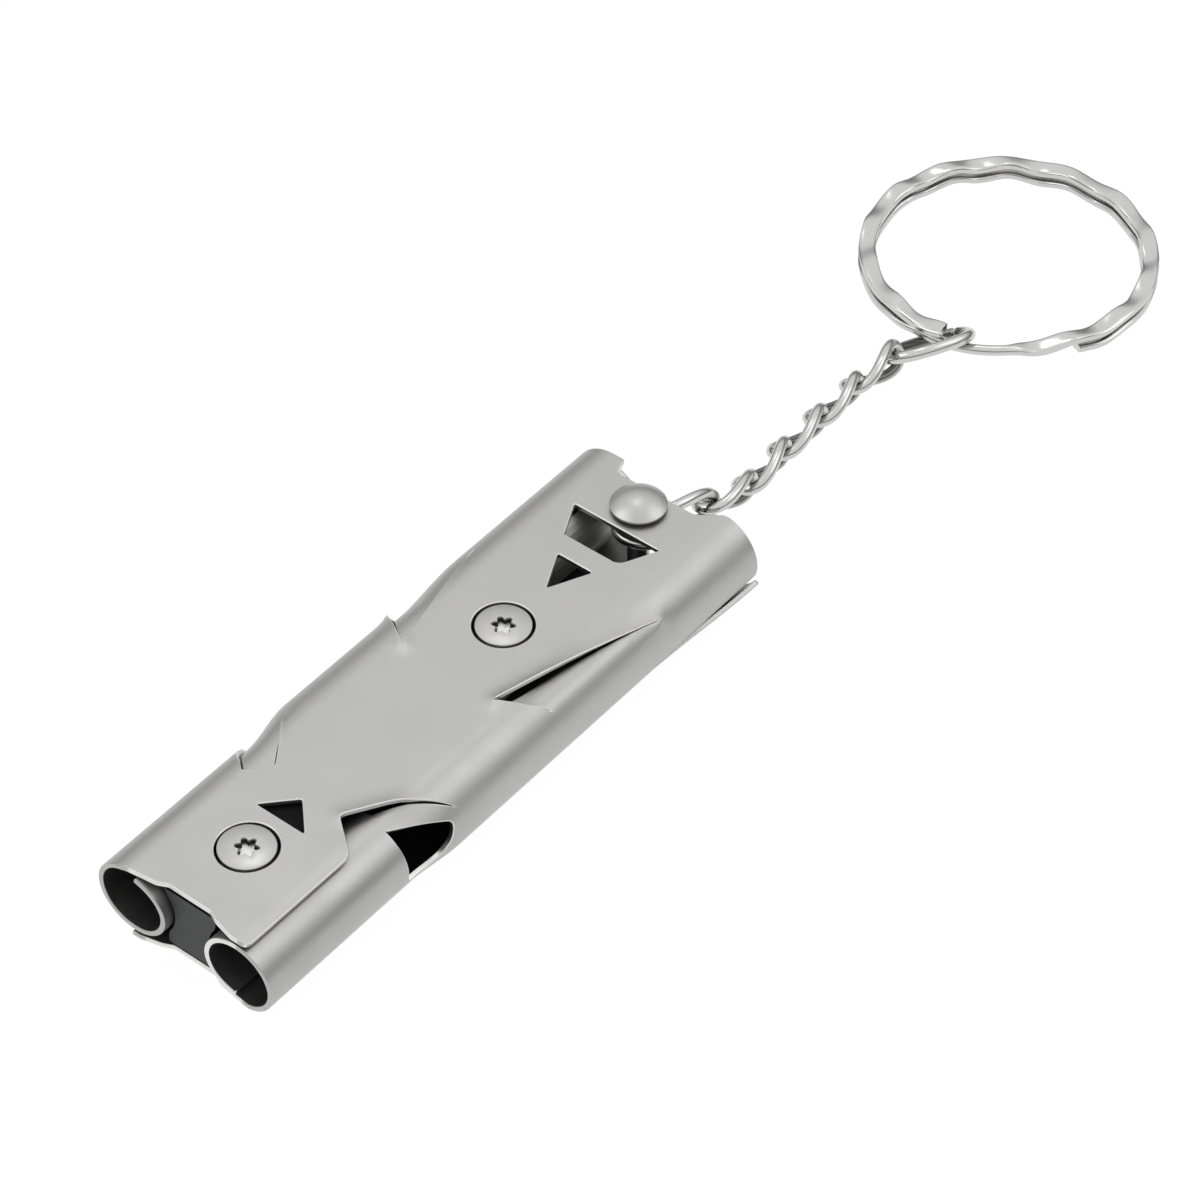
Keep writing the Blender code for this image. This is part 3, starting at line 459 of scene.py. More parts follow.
@dataclass(frozen=True)
class Tongue:
    """A three-cornered tongue, cut free along two legs and pressed below the sheet round it."""

    near: Flat
    tip: Flat
    far: Flat
    raised: Flat
    depth: float
    steepness: float

    @property
    def corners(self) -> list[Flat]:
        """Near corner, tip and far corner."""
        return [self.near, self.tip, self.far]

    def share(self, x: float, across: float) -> float:
        """How near a place on the tongue is to its tip, from 0 at the root to 1 at the tip.

        Args:
            x: place along the body.
            across: place across the blank.

        Returns:
            The share of the way.
        """
        (near_x, near_y), (tip_x, tip_y), (far_x, far_y) = self.corners
        whole = (near_x - tip_x) * (far_y - tip_y) - (near_y - tip_y) * (far_x - tip_x)
        part = (near_x - x) * (far_y - across) - (near_y - across) * (far_x - x)
        return part / whole

    def pressed(self, x: float, across: float) -> float:
        """How deep the tongue is at a place, 0 beside it.

        Args:
            x: place along the body.
            across: place across the blank.

        Returns:
            The depth below the sheet.
        """
        if not holds(self.corners, (x, across)):
            return 0.0
        return self.depth * smooth(self.share(x, across) * self.steepness)

    def lifted(self, x: float, across: float, width: float) -> float:
        """How much of its full lift the sheet beside the raised leg has at a place, from 0 to 1.

        Args:
            x: place along the body.
            across: place across the blank.
            width: how far from the leg the lift ends.

        Returns:
            The share of the lift.
        """
        if holds(self.corners, (x, across)):
            return 0.0
        away = float(distance_to([self.tip, self.raised], np.array([[x, across]]))[0])
        return max(0.0, 1 - away / width) ** 2


@dataclass
class SheetBody:
    """Body rolled from two blanks of thin sheet, with rounded edges painted lighter, as rubbed metal and
    painted highlight.
    """

    length: float = 63.0 * MM
    height: float = 8.2 * MM
    sheet: float = 0.5 * MM
    wrap_spacing: float = 12.1 * MM
    seam_gap: float = 0.35 * MM
    edge_round: float = 0.11 * MM
    tube_diameter: float = 7.35 * MM
    tube_spacing: float = 11.6 * MM
    tube_length: float = 17.5 * MM
    roll_turn: float = math.radians(348)
    tuck_start: float = math.radians(262)
    tuck_clearance: float = 0.12 * MM
    free_edge: float = 7.15 * MM
    free_edge_length: float = 12.5 * MM
    mouth_recess: float = 0.95 * MM
    mouth_recess_half: float = 2.3 * MM
    mouth_recess_slope: float = 1.0 * MM
    mouth_recess_corners: Pair = (0.3 * MM, 0.2 * MM)
    edge_corner: float = 0.9 * MM
    window_length: float = 5.3 * MM
    window_start: float = 16.9 * MM
    lip_length: float = 5.5 * MM
    right_window: Pair = (math.radians(20), math.radians(110))
    left_window: Pair = (math.radians(72), math.radians(152))
    window_tip: float = 0.64
    window_corner: float = 0.6 * MM
    window_upper_side: tuple[Flat, ...] = ((0.55, 0.42), (1.0, 0.8))
    window_lower_side: tuple[Flat, ...] = ((0.9, 0.7), (0.6, 0.08))
    notch_width: float = 0.22 * MM
    notch_corner: float = 0.5 * MM
    right_notch_tip: Flat = (15.2 * MM, 3.6 * MM)
    lip_middle: Flat = (19.6 * MM, 6.3 * MM)
    lip_shoulder: Flat = (22.0 * MM, 8.7 * MM)
    lip_end_angle: float = math.radians(54)
    lip_corners: Pair = (2.0 * MM, 1.5 * MM)
    left_notch_tip: Flat = (15.5 * MM, 4.1 * MM)
    left_notch_far: Flat = (20.7 * MM, 7.9 * MM)
    left_notch_near: Flat = (14.1 * MM, 6.4 * MM)
    left_notch_side: Flat = (16.3 * MM, 9.9 * MM)
    neck_bend: float = 1.3 * MM
    neck_press: float = 0.5 * MM
    lift: float = 0.26 * MM
    lift_width: float = 1.6 * MM
    neck_lift: float = 0.16 * MM
    rear_right: Tongue = Tongue((36.0 * MM, 9.3 * MM), (33.1 * MM, 5.15 * MM), (50.2 * MM, 9.5 * MM),
                                raised=(50.2 * MM, 9.5 * MM), depth=0.8 * MM, steepness=1.3)
    rear_left: Tongue = Tongue((40.2 * MM, -16.2 * MM), (33.4 * MM, -5.3 * MM), (46.5 * MM, -8.55 * MM),
                               raised=(40.2 * MM, -16.2 * MM), depth=0.62 * MM, steepness=2.0)
    tip_gap: float = 0.55 * MM
    hair_gap: float = 0.12 * MM
    seam_length: float = 15.5 * MM
    seam_angle: float = math.radians(111)
    seam_width: float = 0.62 * MM
    seam_proud: float = 0.62 * MM
    # How much of the painted highlight and rubbed metal the edges keep by the seam
    seam_wear_highlight: float = 0.3
    front_cut: tuple[float, float, float] = (11.9 * MM, 2.65 * MM, 2.7 * MM)
    rear_cut_base: float = 55.8 * MM
    rear_cut_length: float = 9.6 * MM
    rear_cut_half: float = 4.7 * MM
    rear_bar_at: float = 3.5 * MM
    rear_bar: float = 2.25 * MM
    cut_corner: float = 0.25 * MM
    end_recess: float = 1.7 * MM
    end_recess_half: float = 4.3 * MM
    end_step: float = 0.5 * MM
    end_slope: float = 2.2 * MM
    end_corner: float = 1.6 * MM
    screw_places: Pair = (7.9 * MM, 40.4 * MM)
    screw_hole: float = 2.75 * MM
    rivet_at: float = 58.9 * MM
    rivet_hole: float = 1.3 * MM
    rivet_hole_points: int = 36
    bend_step: float = math.radians(6)
    grid_step: float = 0.5 * MM
    outline_step: float = 0.4 * MM
    rim_steps: int = 3
    rim_clearance: float = 2.2
    # How much lighter the rim's outer edge is painted, as rubbed metal and painted highlight
    rim_wear_highlight: float = 0.2
    corner_share: float = 0.4
    corner_reach: float = 1.8

    def __post_init__(self) -> None:
        """Work out the values that follow from the sizes."""
        self.flat = self.wrap_spacing / 2
        self.bend = self.height / 2
        self.tube_radius = self.tube_diameter / 2
        self.underside = self.flat + math.pi * self.bend
        self.lip_end = self.tube_length + self.lip_length
        self.roll_end = self.round_at(self.roll_turn)
        self.wrap_end = self.round_at(math.pi) - self.seam_gap / 4
        self.under_edge = self.under_at(self.flat - self.seam_gap)
        self.seam_tip = self.length - self.seam_length

    def round_at(self, angle: float) -> float:
        """Place across the blank for an angle down a round side."""
        return self.flat + self.bend * angle

    def under_at(self, y: float) -> float:
        """Place across the blank for a place on the under plate."""
        return self.underside + self.flat + y

    def section(self, x: float, on_roll: bool) -> Pair:
        """Centre distance and radius of a round side at a station.

        Args:
            x: place along the body.
            on_roll: whether the sheet is rolled to a tube there.

        Returns:
            How far the centre is from the middle, and the radius.
        """
        blend = smooth((x - self.tube_length) / self.lip_length) if on_roll else 1.0
        centre = mix(self.tube_spacing, self.wrap_spacing, blend) / 2
        return centre, mix(self.tube_radius, self.bend, blend)

    def tuck(self, turn: float) -> float:
        """How far the free end of a roll is drawn in under its own plate.

        Args:
            turn: turn round the roll.

        Returns:
            The distance.
        """
        share = (turn - self.tuck_start) / (self.roll_turn - self.tuck_start)
        return (self.sheet + self.tuck_clearance) * smooth(share)

    def fold(self, x: float, across: float, rolled: Side | None) -> tuple[Vector, Vector]:
        """Fold one place of a blank to its rolled place.

        Args:
            x: place along the body.
            across: place across the blank, negative to the left of its centre line.
            rolled: the side that is rolled to a tube there, or None on plain plate.

        Returns:
            The place on the outer face and its outward normal.
        """
        low_roll = rolled is Side.RIGHT
        side = -1.0 if across >= 0 or low_roll else 1.0
        reach = across if side < 0 else -across
        centre, radius = self.section(x, rolled is not None)
        middle = radius if low_roll else self.height - radius
        if reach <= self.flat and not low_roll:
            return Vector((x, side * reach * centre / self.flat, self.height)), Vector((0, 0, 1))
        angle = (reach - self.flat) / self.bend
        if side > 0 or angle <= math.pi:
            turn = angle if side > 0 else math.pi - angle
            arm = radius - self.tuck(turn)
            normal = Vector((0, side * math.sin(angle), math.cos(angle)))
            return Vector((x, side * centre, middle)) + normal * arm, normal
        y = min(reach - self.underside - self.flat, self.flat)
        scale = centre / self.flat if y < 0 else 1.0
        return Vector((x, y * scale, 0)), Vector((0, 0, -1))

    def wedge(self, tongue: Tongue) -> list[Flat]:
        """Slit round a tongue, wide at its tip and a hair's breadth along its near leg.

        Args:
            tongue: the tongue.

        Returns:
            The slit's outline.
        """
        near, tip, far = (Vector(corner) for corner in tongue.corners)
        leg = (near - tip).normalized()
        inside = Vector((leg.y, -leg.x))
        inside = inside if inside.dot(far - tip) > 0 else -inside
        first = tip + leg * self.tip_gap + inside * self.hair_gap
        outer = tip - (leg + (far - tip).normalized()).normalized() * self.hair_gap
        return [tuple(far), tuple(outer), tuple(near), tuple(first)]

    def neck_line(self) -> list[Flat]:
        """Line of the notch round the tongue that dips under the left roll.

        Returns:
            Its points on the right half of the blank.
        """
        corners = [self.left_notch_far, self.left_notch_tip, self.left_notch_near, self.left_notch_side]
        return bent(corners, 1, self.neck_bend)

    def left_tongue(self) -> list[Flat]:
        """Outline of the tongue that dips under the left roll.

        Returns:
            Its points on the left half of the blank.
        """
        window_top = self.round_at(self.left_window[0])
        window_tip = self.round_at(mix(*self.left_window, self.window_tip))
        corners = self.neck_line()
        corners += [(self.tube_length, window_top), (self.lip_end, window_tip)]
        return mirrored(corners + [(self.lip_end, self.left_notch_far[1])])

    def pressed(self, x: float, across: float, rolled: Side) -> float:
        """How far the sheet is pressed inwards at a place on a blank.

        Args:
            x: place along the body.
            across: place across the blank.
            rolled: the blank, named by the side that it rolls.

        Returns:
            The depth, less than 0 where the sheet is lifted.
        """
        if rolled is Side.RIGHT:
            return 0.0
        depth = 0.0
        for tongue in (self.rear_right, self.rear_left):
            depth += tongue.pressed(x, across) - self.lift * tongue.lifted(x, across, self.lift_width)
        away = float(distance_to([self.right_notch_tip, self.lip_middle], np.array([[x, across]]))[0])
        depth -= self.neck_lift * max(0.0, 1 - away / self.lift_width) ** 2
        if holds(self.left_tongue(), (x, across)):
            run = self.lip_end - self.left_notch_side[0]
            depth += self.neck_press * (1 - smooth((x - self.left_notch_side[0]) / run))
        seam = self.round_at(self.seam_angle)
        if x > self.seam_tip and across > seam:
            fade = 1 - smooth((across - seam) / (self.underside - seam))
            depth -= self.seam_proud * smooth((x - self.seam_tip) / self.seam_length) * fade
        return depth

    def wear_highlight_share(self, x: float, across: float) -> float:
        """How much lighter an edge is painted, as rubbed metal and painted highlight: none at a mouth or the
        left roll's end, less by the seam.

        Args:
            x: place along the body.
            across: place across the blank.

        Returns:
            A share from 0 to 1.
        """
        at_mouth = x < self.edge_round and not -self.flat < across < self.flat
        if at_mouth or across < self.edge_round - self.roll_end:
            return 0.0
        # By the seam the edges are painted less light
        by_seam = x > self.seam_tip and self.round_at(self.seam_angle) < across < self.underside
        return self.seam_wear_highlight if by_seam else 1.0

    def window(self, angles: Pair, start: float) -> list[Flat]:
        """Outline of a sound window, square where it starts and drawn to a round tip beyond.

        Args:
            angles: where it starts and ends down the round side.
            start: its near end along the body.

        Returns:
            The rounded outline.
        """
        top, bottom = (self.round_at(angle) for angle in angles)
        tip = mix(top, bottom, self.window_tip)
        corners: list[Flat] = [(start, top)]
        for side, places in ((top, self.window_upper_side), (bottom, self.window_lower_side)):
            for along, share in places:
                corners.append((start + along * self.window_length, mix(side, tip, share)))
        corners.append((start, bottom))
        small, large = self.window_corner, 2 * self.window_corner
        return fillet(corners, [0, large, small, small, large, 0])

    def mouth_edge(self, place: Callable[[float], float]) -> list[tuple[Flat, float]]:
        """Corners and radii of a plate's front edge, set back between the tubes.

        Args:
            place: gives the place across the blank for a distance from the plate's middle.

        Returns:
            Each corner with its radius.
        """
        inner = self.mouth_recess_half
        outer = inner + self.mouth_recess_slope
        half = self.mouth_recess / 2
        wide, tight = self.mouth_recess_corners
        corners = [
            ((half, -outer), wide),
            ((self.mouth_recess, -inner), tight),
            ((self.mouth_recess, inner), tight),
            ((half, outer), wide),
            ((0, outer + 2 * self.mouth_recess_slope), 0),
            ((0, self.free_edge), self.edge_corner),
            ((self.free_edge_length, self.free_edge), self.edge_corner),
        ]
        return [((x, place(y)), radius) for (x, y), radius in corners]

    def end_edge(self, place: Callable[[float], float], step_side: int) -> list[tuple[Flat, float]]:
        """Corners and radii of a plate's chain end, set back where the chain leaves the body.

        Args:
            place: gives the place across the blank for a distance from the plate's middle.
            step_side: 1 or -1 for the side with the steep step.

        Returns:
            Each corner with its radius.
        """
        back = self.length - self.end_recess
        half = self.end_recess_half
        corners = [
            ((self.length, -step_side * (half + self.end_slope)), self.end_step),
            ((back, -step_side * half), self.end_step),
            ((back, step_side * half), self.end_step / 2),
            ((self.length, step_side * (half + self.end_step)), self.end_step / 2),
        ]
        return [((x, place(y)), radius) for (x, y), radius in corners]

    def rear_cuts(self) -> list[list[Flat]]:
        """The large triangle at the chain end, split in two by a bar.

        Returns:
            The outline of each half.
        """
        base = self.rear_cut_base
        slope = self.rear_cut_half / self.rear_cut_length
        near = base - self.rear_bar_at
        far = near - self.rear_bar
        wide = (self.rear_cut_length - self.rear_bar_at) * slope
        narrow = (self.rear_cut_length - self.rear_bar_at - self.rear_bar) * slope
        half, corner = self.rear_cut_half, self.cut_corner
        trapezoid = [(base, -half), (base, half), (near, wide), (near, -wide)]
        triangle = [(far, -narrow), (far, narrow), (base - self.rear_cut_length, 0)]
        return [fillet(trapezoid, [corner, 0, 3 * corner, 0]), fillet(triangle, [corner] * 3)]

    def upper_blank(self) -> Blank:
        """Top plate with the left roll, both wraps and the under plate beyond the windows.

        Returns:
            The flat sheet.
        """
        corners = [((0, -self.roll_end), 0), ((0, -self.free_edge), 0)] + self.mouth_edge(lambda y: y)
        corners += [(self.right_notch_tip, self.notch_corner)]
        corners += list(zip((self.lip_middle, self.lip_shoulder), self.lip_corners))
        corners += [((self.lip_end, self.round_at(self.lip_end_angle)), 0)]
        corners += [((self.lip_end, self.under_edge), 0)]
        corners += [((self.length - self.end_recess, self.under_edge), 0)]
        corners += self.end_edge(self.under_at, 1)[1::-1] + self.end_edge(lambda y: y, -1)
        corners += [((self.length, -self.wrap_end), self.end_corner)]
        corners += [((self.tube_length, -self.wrap_end), 0), ((self.tube_length, -self.roll_end), 0)]
        outline = fillet([place for place, _ in corners], [radius for _, radius in corners])
        seam = self.round_at(self.seam_angle)
        beyond = self.length + self.seam_width
        window_top = self.round_at(self.left_window[0])
        neck = self.neck_line() + [(self.tube_length + self.notch_width, window_top + self.notch_width)]
        cut_x, cut_half, cut_length = self.front_cut
        front = [(cut_x, -cut_half), (cut_x, cut_half), (cut_x + cut_length, 0)]
        points = self.rivet_hole_points
        holes = [circle(x, 0, self.screw_hole) for x in self.screw_places]
        holes += [circle(self.screw_places[1], self.under_at(0), self.screw_hole)]
        holes += [circle(self.rivet_at, across, self.rivet_hole, points) for across in (0, self.under_at(0))]
        holes += [fillet(front, [self.cut_corner] * 3)] + self.rear_cuts()
        holes += [self.wedge(self.rear_right)]
        holes += [slit(self.rear_left.corners, self.hair_gap)]
        holes += [slit(mirrored(neck), self.hair_gap)]
        holes += [mirrored(self.window(self.left_window, self.tube_length))]
        half = self.seam_width / 2
        holes += [[(self.seam_tip, seam), (beyond, seam + half), (beyond, seam - half)]]
        return Blank(outline, holes, Side.LEFT, -self.roll_end, self.under_edge)

    def lower_blank(self) -> Blank:
        """Right roll with the under plate below it, as far as the end of the window lip.

        Returns:
            The flat sheet.
        """
        roll_end = self.round_at(math.pi - self.roll_turn)
        gap = self.notch_width
        lip_start = mix(self.right_notch_tip[1], self.lip_middle[1], 0.5)
        corners = [((0, roll_end), 0), ((self.tube_length, roll_end), 0)]
        corners += [((self.tube_length, lip_start + gap), 0)]
        wide = self.lip_corners[0]
        corners += [((x, across + gap), wide) for x, across in (self.lip_middle, self.lip_shoulder)]
        corners += [((self.lip_end, self.round_at(self.lip_end_angle)), 0)]
        corners += [((self.lip_end, self.under_edge), 0), ((self.lip_middle[0], self.under_edge), wide)]
        tip_x, tip_across = self.right_notch_tip
        corners += [((tip_x, self.under_at(tip_across)), self.notch_corner)]
        corners += self.mouth_edge(self.under_at)[::-1] + [((0, self.under_at(-self.free_edge)), 0)]
        outline = fillet([place for place, _ in corners], [radius for _, radius in corners])
        holes = [self.window(self.right_window, self.window_start)]
        holes += [circle(self.screw_places[0], self.under_at(0), self.screw_hole)]
        return Blank(outline, holes, Side.RIGHT, roll_end, self.under_edge)

    def grid(self, blank: Blank) -> np.ndarray:
        """Places inside a blank for its triangles, close together where it bends.

        Args:
            blank: the flat sheet.

        Returns:
            The places, one to a row.
        """
        rows = set()
        step = self.bend * self.bend_step
        across = blank.first
        while across < blank.last:
            angle = (abs(across) - self.flat) / self.bend
            bends = 0 <= angle <= math.pi or across < 0
            rows.add(round(across, ROW_DIGITS))
            across += step if bends else self.grid_step
        columns = np.arange(self.grid_step / 2, self.length, self.grid_step)
        return np.array([(x, row) for row in sorted(rows) for x in columns])

    def triangulated(self, blank: Blank) -> tuple[list[Flat], list[Triangle]]:
        """Triangles over a blank, wound so that they face outwards once it is folded.

        Args:
            blank: the flat sheet.

        Returns:
            The flat places and the triangles over them.
        """
        loops = [divided(loop, self.outline_step) for loop in [blank.outline] + blank.holes]
        points: list[Vector] = []
        edges: list[tuple[int, int]] = []
        for loop in loops:
            first = len(points)
            points += [Vector((x / MM, y / MM)) for x, y in loop]
            edges += [(first + k, first + (k + 1) % len(loop)) for k in range(len(loop))]
        inner = self.grid(blank)
        clear = np.full(len(inner), np.inf)
        for loop in [blank.outline] + blank.holes:
            clear = np.minimum(clear, distance_to(loop, inner))
        inner = inner[clear > self.rim_clearance * self.edge_round]
        points += [Vector((x / MM, y / MM)) for x, y in inner]
        found = delaunay_2d_cdt(points, edges, [], 0, CUT_TOLERANCE)
        places = [(place.x * MM, place.y * MM) for place in found[0]]
        middles = []
        for face in found[2]:
            middles.append([sum(places[k][axis] for k in face) / len(face) for axis in (0, 1)])
        middles = np.array(middles)
        kept = held_points(blank.outline, middles)
        for hole in blank.holes:
            kept &= ~held_points(hole, middles)
        return places, [self.wound(face, places) for face, keep in zip(found[2], kept) if keep]

    def wound(self, face: Triangle, places: list[Flat]) -> Triangle:
        """A triangle's corners in the order that faces outwards.

        Args:
            face: numbers of its corners.
            places: the flat places.

        Returns:
            The numbers in that order.
        """
        (ax, ay), (bx, by), (cx, cy) = (places[k] for k in face)
        area = (bx - ax) * (cy - ay) - (by - ay) * (cx - ax)
        return (face[0], face[1], face[2]) if area < 0 else (face[0], face[2], face[1])

    def mesh(self) -> bpy.types.Mesh:
        """Fold both blanks, weld them across the body and round every edge of the sheet.

        Returns:
            A closed mesh that says at each point how much lighter it is painted, as rubbed metal and painted
            highlight, and how much painted shade it has.
        """
        sheets = [self.upper_blank(), self.lower_blank()]
        flats: list[Flat] = []
        rolled: list[Side] = []
        faces: list[Triangle] = []
        seam: dict[tuple[int, int], int] = {}
        for blank in sheets:
            places, triangles = self.triangulated(blank)
            number: dict[int, int] = {}
            for k in sorted({k for face in triangles for k in face}):
                x, across = places[k]
                key = (round(x / (2 * WELD_REACH)), round(across / (2 * WELD_REACH)))
                on_weld = abs(x - self.lip_end) < WELD_REACH
                if on_weld and key in seam:
                    number[k] = seam[key]
                    continue
                number[k] = len(flats)
                flats.append((x, across))
                rolled.append(blank.rolled)
                if on_weld:
                    seam[key] = number[k]
            faces += [tuple(number[k] for k in face) for face in triangles]
        return self.solid(flats, rolled, faces)

    def solid(self, flats: list[Flat], rolled: list[Side], faces: list[Triangle]) -> bpy.types.Mesh:
        """Give the folded sheet its thickness and rounded rim.

        Args:
            flats: place of each vertex on its blank.
            rolled: which blank each vertex belongs to.
            faces: triangles of the outer face.

        Returns:
            The closed mesh.
        """
        edges = {(face[k - 1], face[k]) for face in faces for k in range(3)}
        rim = [(a, b) for a, b in edges if (b, a) not in edges]
        outward: dict[int, list[Vector]] = {}
        for a, b in rim:
            run = Vector(flats[b]) - Vector(flats[a])
            normal = Vector((-run.y, run.x)).normalized()
            for k in (a, b):
                outward.setdefault(k, []).append(normal)
        push: dict[int, Vector] = {}
        for k, normals in outward.items():
            mean = sum(normals, Vector((0, 0))).normalized()
            share = max(mean.dot(normals[0]), self.corner_share)
            push[k] = mean * min(1 / share, self.corner_reach)

        def place(k: int, out: float, depth: float) -> Vector:
            """Folded place of a vertex, pushed out over the rim and down into the sheet.

            Args:
                k: number of the vertex.
                out: how far it goes out over the rim.
                depth: how far it goes into the sheet.

            Returns:
                The place.
            """
            x, across = flats[k]
            moved = Vector((x, across)) + push.get(k, Vector((0, 0))) * out
            on_plate = rolled[k] is Side.LEFT and across > 0
            spot, normal = self.fold(moved.x, moved.y, None if on_plate else rolled[k])
            return spot - normal * (self.pressed(x, across, rolled[k]) + depth)

        radius = self.edge_round
        count = len(flats)
        insets = [-radius if k in push else 0.0 for k in range(count)]
        points = [place(k, insets[k], 0) for k in range(count)]
        facing = [Vector() for _ in range(count)]
        for a, b, c in faces:
            square = (points[b] - points[a]).cross(points[c] - points[a])
            for k in (a, b, c):
                facing[k] += square
        facing = [normal.normalized() for normal in facing]
        points += [place(k, insets[k], self.sheet) for k in range(count)]
        normals = facing + [-normal for normal in facing]
        # The rim's outer edge is painted a little lighter, as rubbed metal and painted highlight
        wear_and_highlight = [self.rim_wear_highlight if k in push else 0.0 for k in range(count)] + [0.0] * count
        skinned = list(faces) + [(c + count, b + count, a + count) for a, b, c in faces]
        profile = []
        for share in spread(0, 1, self.rim_steps)[1:]:
            turn = share * math.pi / 2
            profile.append((turn, radius * (math.sin(turn) - 1), radius * (1 - math.cos(turn))))
        profile += [(math.pi - turn, out, self.sheet - depth) for turn, out, depth in profile[::-1]]
        chains: dict[int, list[int]] = {}
        for k in push:
            outwards = (place(k, radius, self.sheet / 2) - place(k, -radius, self.sheet / 2)).normalized()
            first = len(points)
            for turn, out, depth in profile:
                points.append(place(k, out, depth))
                normals.append(facing[k] * math.cos(turn) + outwards * math.sin(turn))
            # The rounded rim is painted lighter, as rubbed metal and painted highlight
            wear_and_highlight += [self.wear_highlight_share(*flats[k])] * len(profile)
            chains[k] = [k] + list(range(first, first + len(profile))) + [k + count]
        for a, b in rim:
            near, far = chains[a], chains[b]
            for level in range(len(profile) + 1):
                skinned.append((far[level], near[level], near[level + 1], far[level + 1]))
        # Painted shade: the sheet's inner face, inside the body, is darkened in full; the outer face and the
        # rim are not
        painted_shade = [0.0] * count + [1.0] * count + [0.0] * (len(points) - 2 * count)
        mesh = shaded_mesh("sheet_body", (points, skinned), wear_and_highlight, painted_shade)
        mesh.transform(Matrix.Translation((-self.length / 2, 0, 0)))
        mesh.normals_split_custom_set_from_vertices([tuple(normal) for normal in normals])
        return mesh

    def build(self, finish: bpy.types.Material) -> bpy.types.Object:
        """Make the body and let it stand for the solid shell.

        Args:
            finish: its material.

        Returns:
            The body.
        """
        body = link_to_scene(bpy.data.objects.new("rolled_body", self.mesh()))
        body.data.materials.append(finish)
        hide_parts("body_shell")
        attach(body, "whistle")
        return body


# Small turned pieces


@dataclass
class FlushScrew:
    """Flush screw with a star recess, and the sleeve nut that takes it from below."""

    name: str
    x: float
    top: float = 8.2 * MM
    head: float = 2.5 * MM
    head_height: float = 0.9 * MM
    shank: float = 1.25 * MM
    tip: float = 1.6 * MM
    barrel: float = 2.1 * MM
    gap: float = 0.3 * MM
    chamfer: float = 0.12 * MM
    star: float = 0.82 * MM
    star_wave: float = 0.19 * MM
    star_depth: float = 0.55 * MM
    tip_share: float = 0.6
    rim_share: float = 0.3
    star_shares: Triple = (1.12, 0.94, 0.5)
    star_dip: float = 1.05
    nut_dimple: Pair = (0.3, 0.4)

    def place(self) -> Matrix:
        """Where the screw's axis stands."""
        return Matrix.Translation((self.x - SheetBody.length / 2, 0, 0))

    def screw(self, steel: bpy.types.Material, wall: bpy.types.Material,
              floor: bpy.types.Material) -> bpy.types.Object:
        """Make the screw.

        Args:
            steel: finish of the screw.
            wall: finish of the recess's wall, near black as painted shade.
            floor: finish of the recess's floor, light as painted light.

        Returns:
            The screw.
        """
        top, head = self.top, self.head
        under = top - self.head_height
        soft = self.chamfer * self.rim_share
        mouth, foot, floor_ring = self.star_shares
        profile = [(self.shank * self.tip_share, self.tip), (self.shank, self.tip + self.gap)]
        profile += [(self.shank, under), (head, under), (head, top - self.chamfer)]
        profile += [(head - soft, top - soft), (head - self.chamfer, top)]
        profile += [(self.star * mouth, top, self.star_wave)]
        first = len(profile)
        profile += [(self.star, top - self.chamfer, self.star_wave),
                    (self.star * foot, top - self.star_depth, self.star_wave),
                    (self.star * floor_ring, top - self.star_depth * self.star_dip)]
        rings = turned(profile, self.place())
        item = add_piece(self.name, "whistle", self.name, Slot.SCREW, skin(rings), steel)
        item.data.materials.append(wall)
        item.data.materials.append(floor)
        size = len(rings[0])
        # The recess's wall takes the painted shade and its floor the painted light
        for face in item.data.polygons:
            ring = min(face.vertices) // size
            if ring >= first:
                face.material_index = 1 if ring == first and len(face.vertices) == 4 else 2
        return item

    def nut(self, node: str, steel: bpy.types.Material) -> bpy.types.Object:
        """Make the sleeve nut.

        Args:
            node: node that it stands for.
            steel: its finish.

        Returns:
            The nut.
        """
        head, bevel = self.head, self.chamfer
        bore = self.shank + self.gap
        rim = self.top - self.head_height - self.gap
        inner, outer = self.nut_dimple
        profile = [(inner * head, bevel), (outer * head, 0), (head - bevel, 0), (head, bevel)]
        profile += [(head, self.head_height), (self.barrel, self.head_height), (self.barrel, rim - bevel)]
        profile += [(self.barrel - bevel, rim), (bore, rim), (bore, self.tip - self.gap)]
        return add_piece(node, "whistle", node, Slot.SCREW, skin(turned(profile, self.place())), steel)


@dataclass
class Rivet:
    """Domed rivet that carries the chain."""

    x: float = 58.9 * MM
    seat: float = 8.5 * MM
    shank: float = 1.0 * MM
    head: float = 2.55 * MM
    rim: float = 0.25 * MM
    dome: float = 0.85 * MM
    tip_share: float = 0.8
    steps: int = 14

    def build(self, steel: bpy.types.Material) -> bpy.types.Object:
        """Make the rivet.

        Args:
            steel: its finish.

        Returns:
            The rivet.
        """
        soft = self.rim / 3
        profile = [(self.shank * self.tip_share, 0), (self.shank, self.rim / 2), (self.shank, self.seat)]
        profile += [(self.head - soft, self.seat), (self.head, self.seat + soft)]
        sphere = (self.head ** 2 + self.dome ** 2) / (2 * self.dome)
        crown = self.seat + self.rim + self.dome
        for angle in spread(math.asin(self.head / sphere), 0.0, self.steps)[:-1]:
            profile.append((sphere * math.sin(angle), crown - sphere * (1 - math.cos(angle))))
        place = Matrix.Translation((self.x - SheetBody.length / 2, 0, 0))
        return add_piece("rivet", "whistle", "rivet", Slot.SCREW, skin(turned(profile, place)), steel)


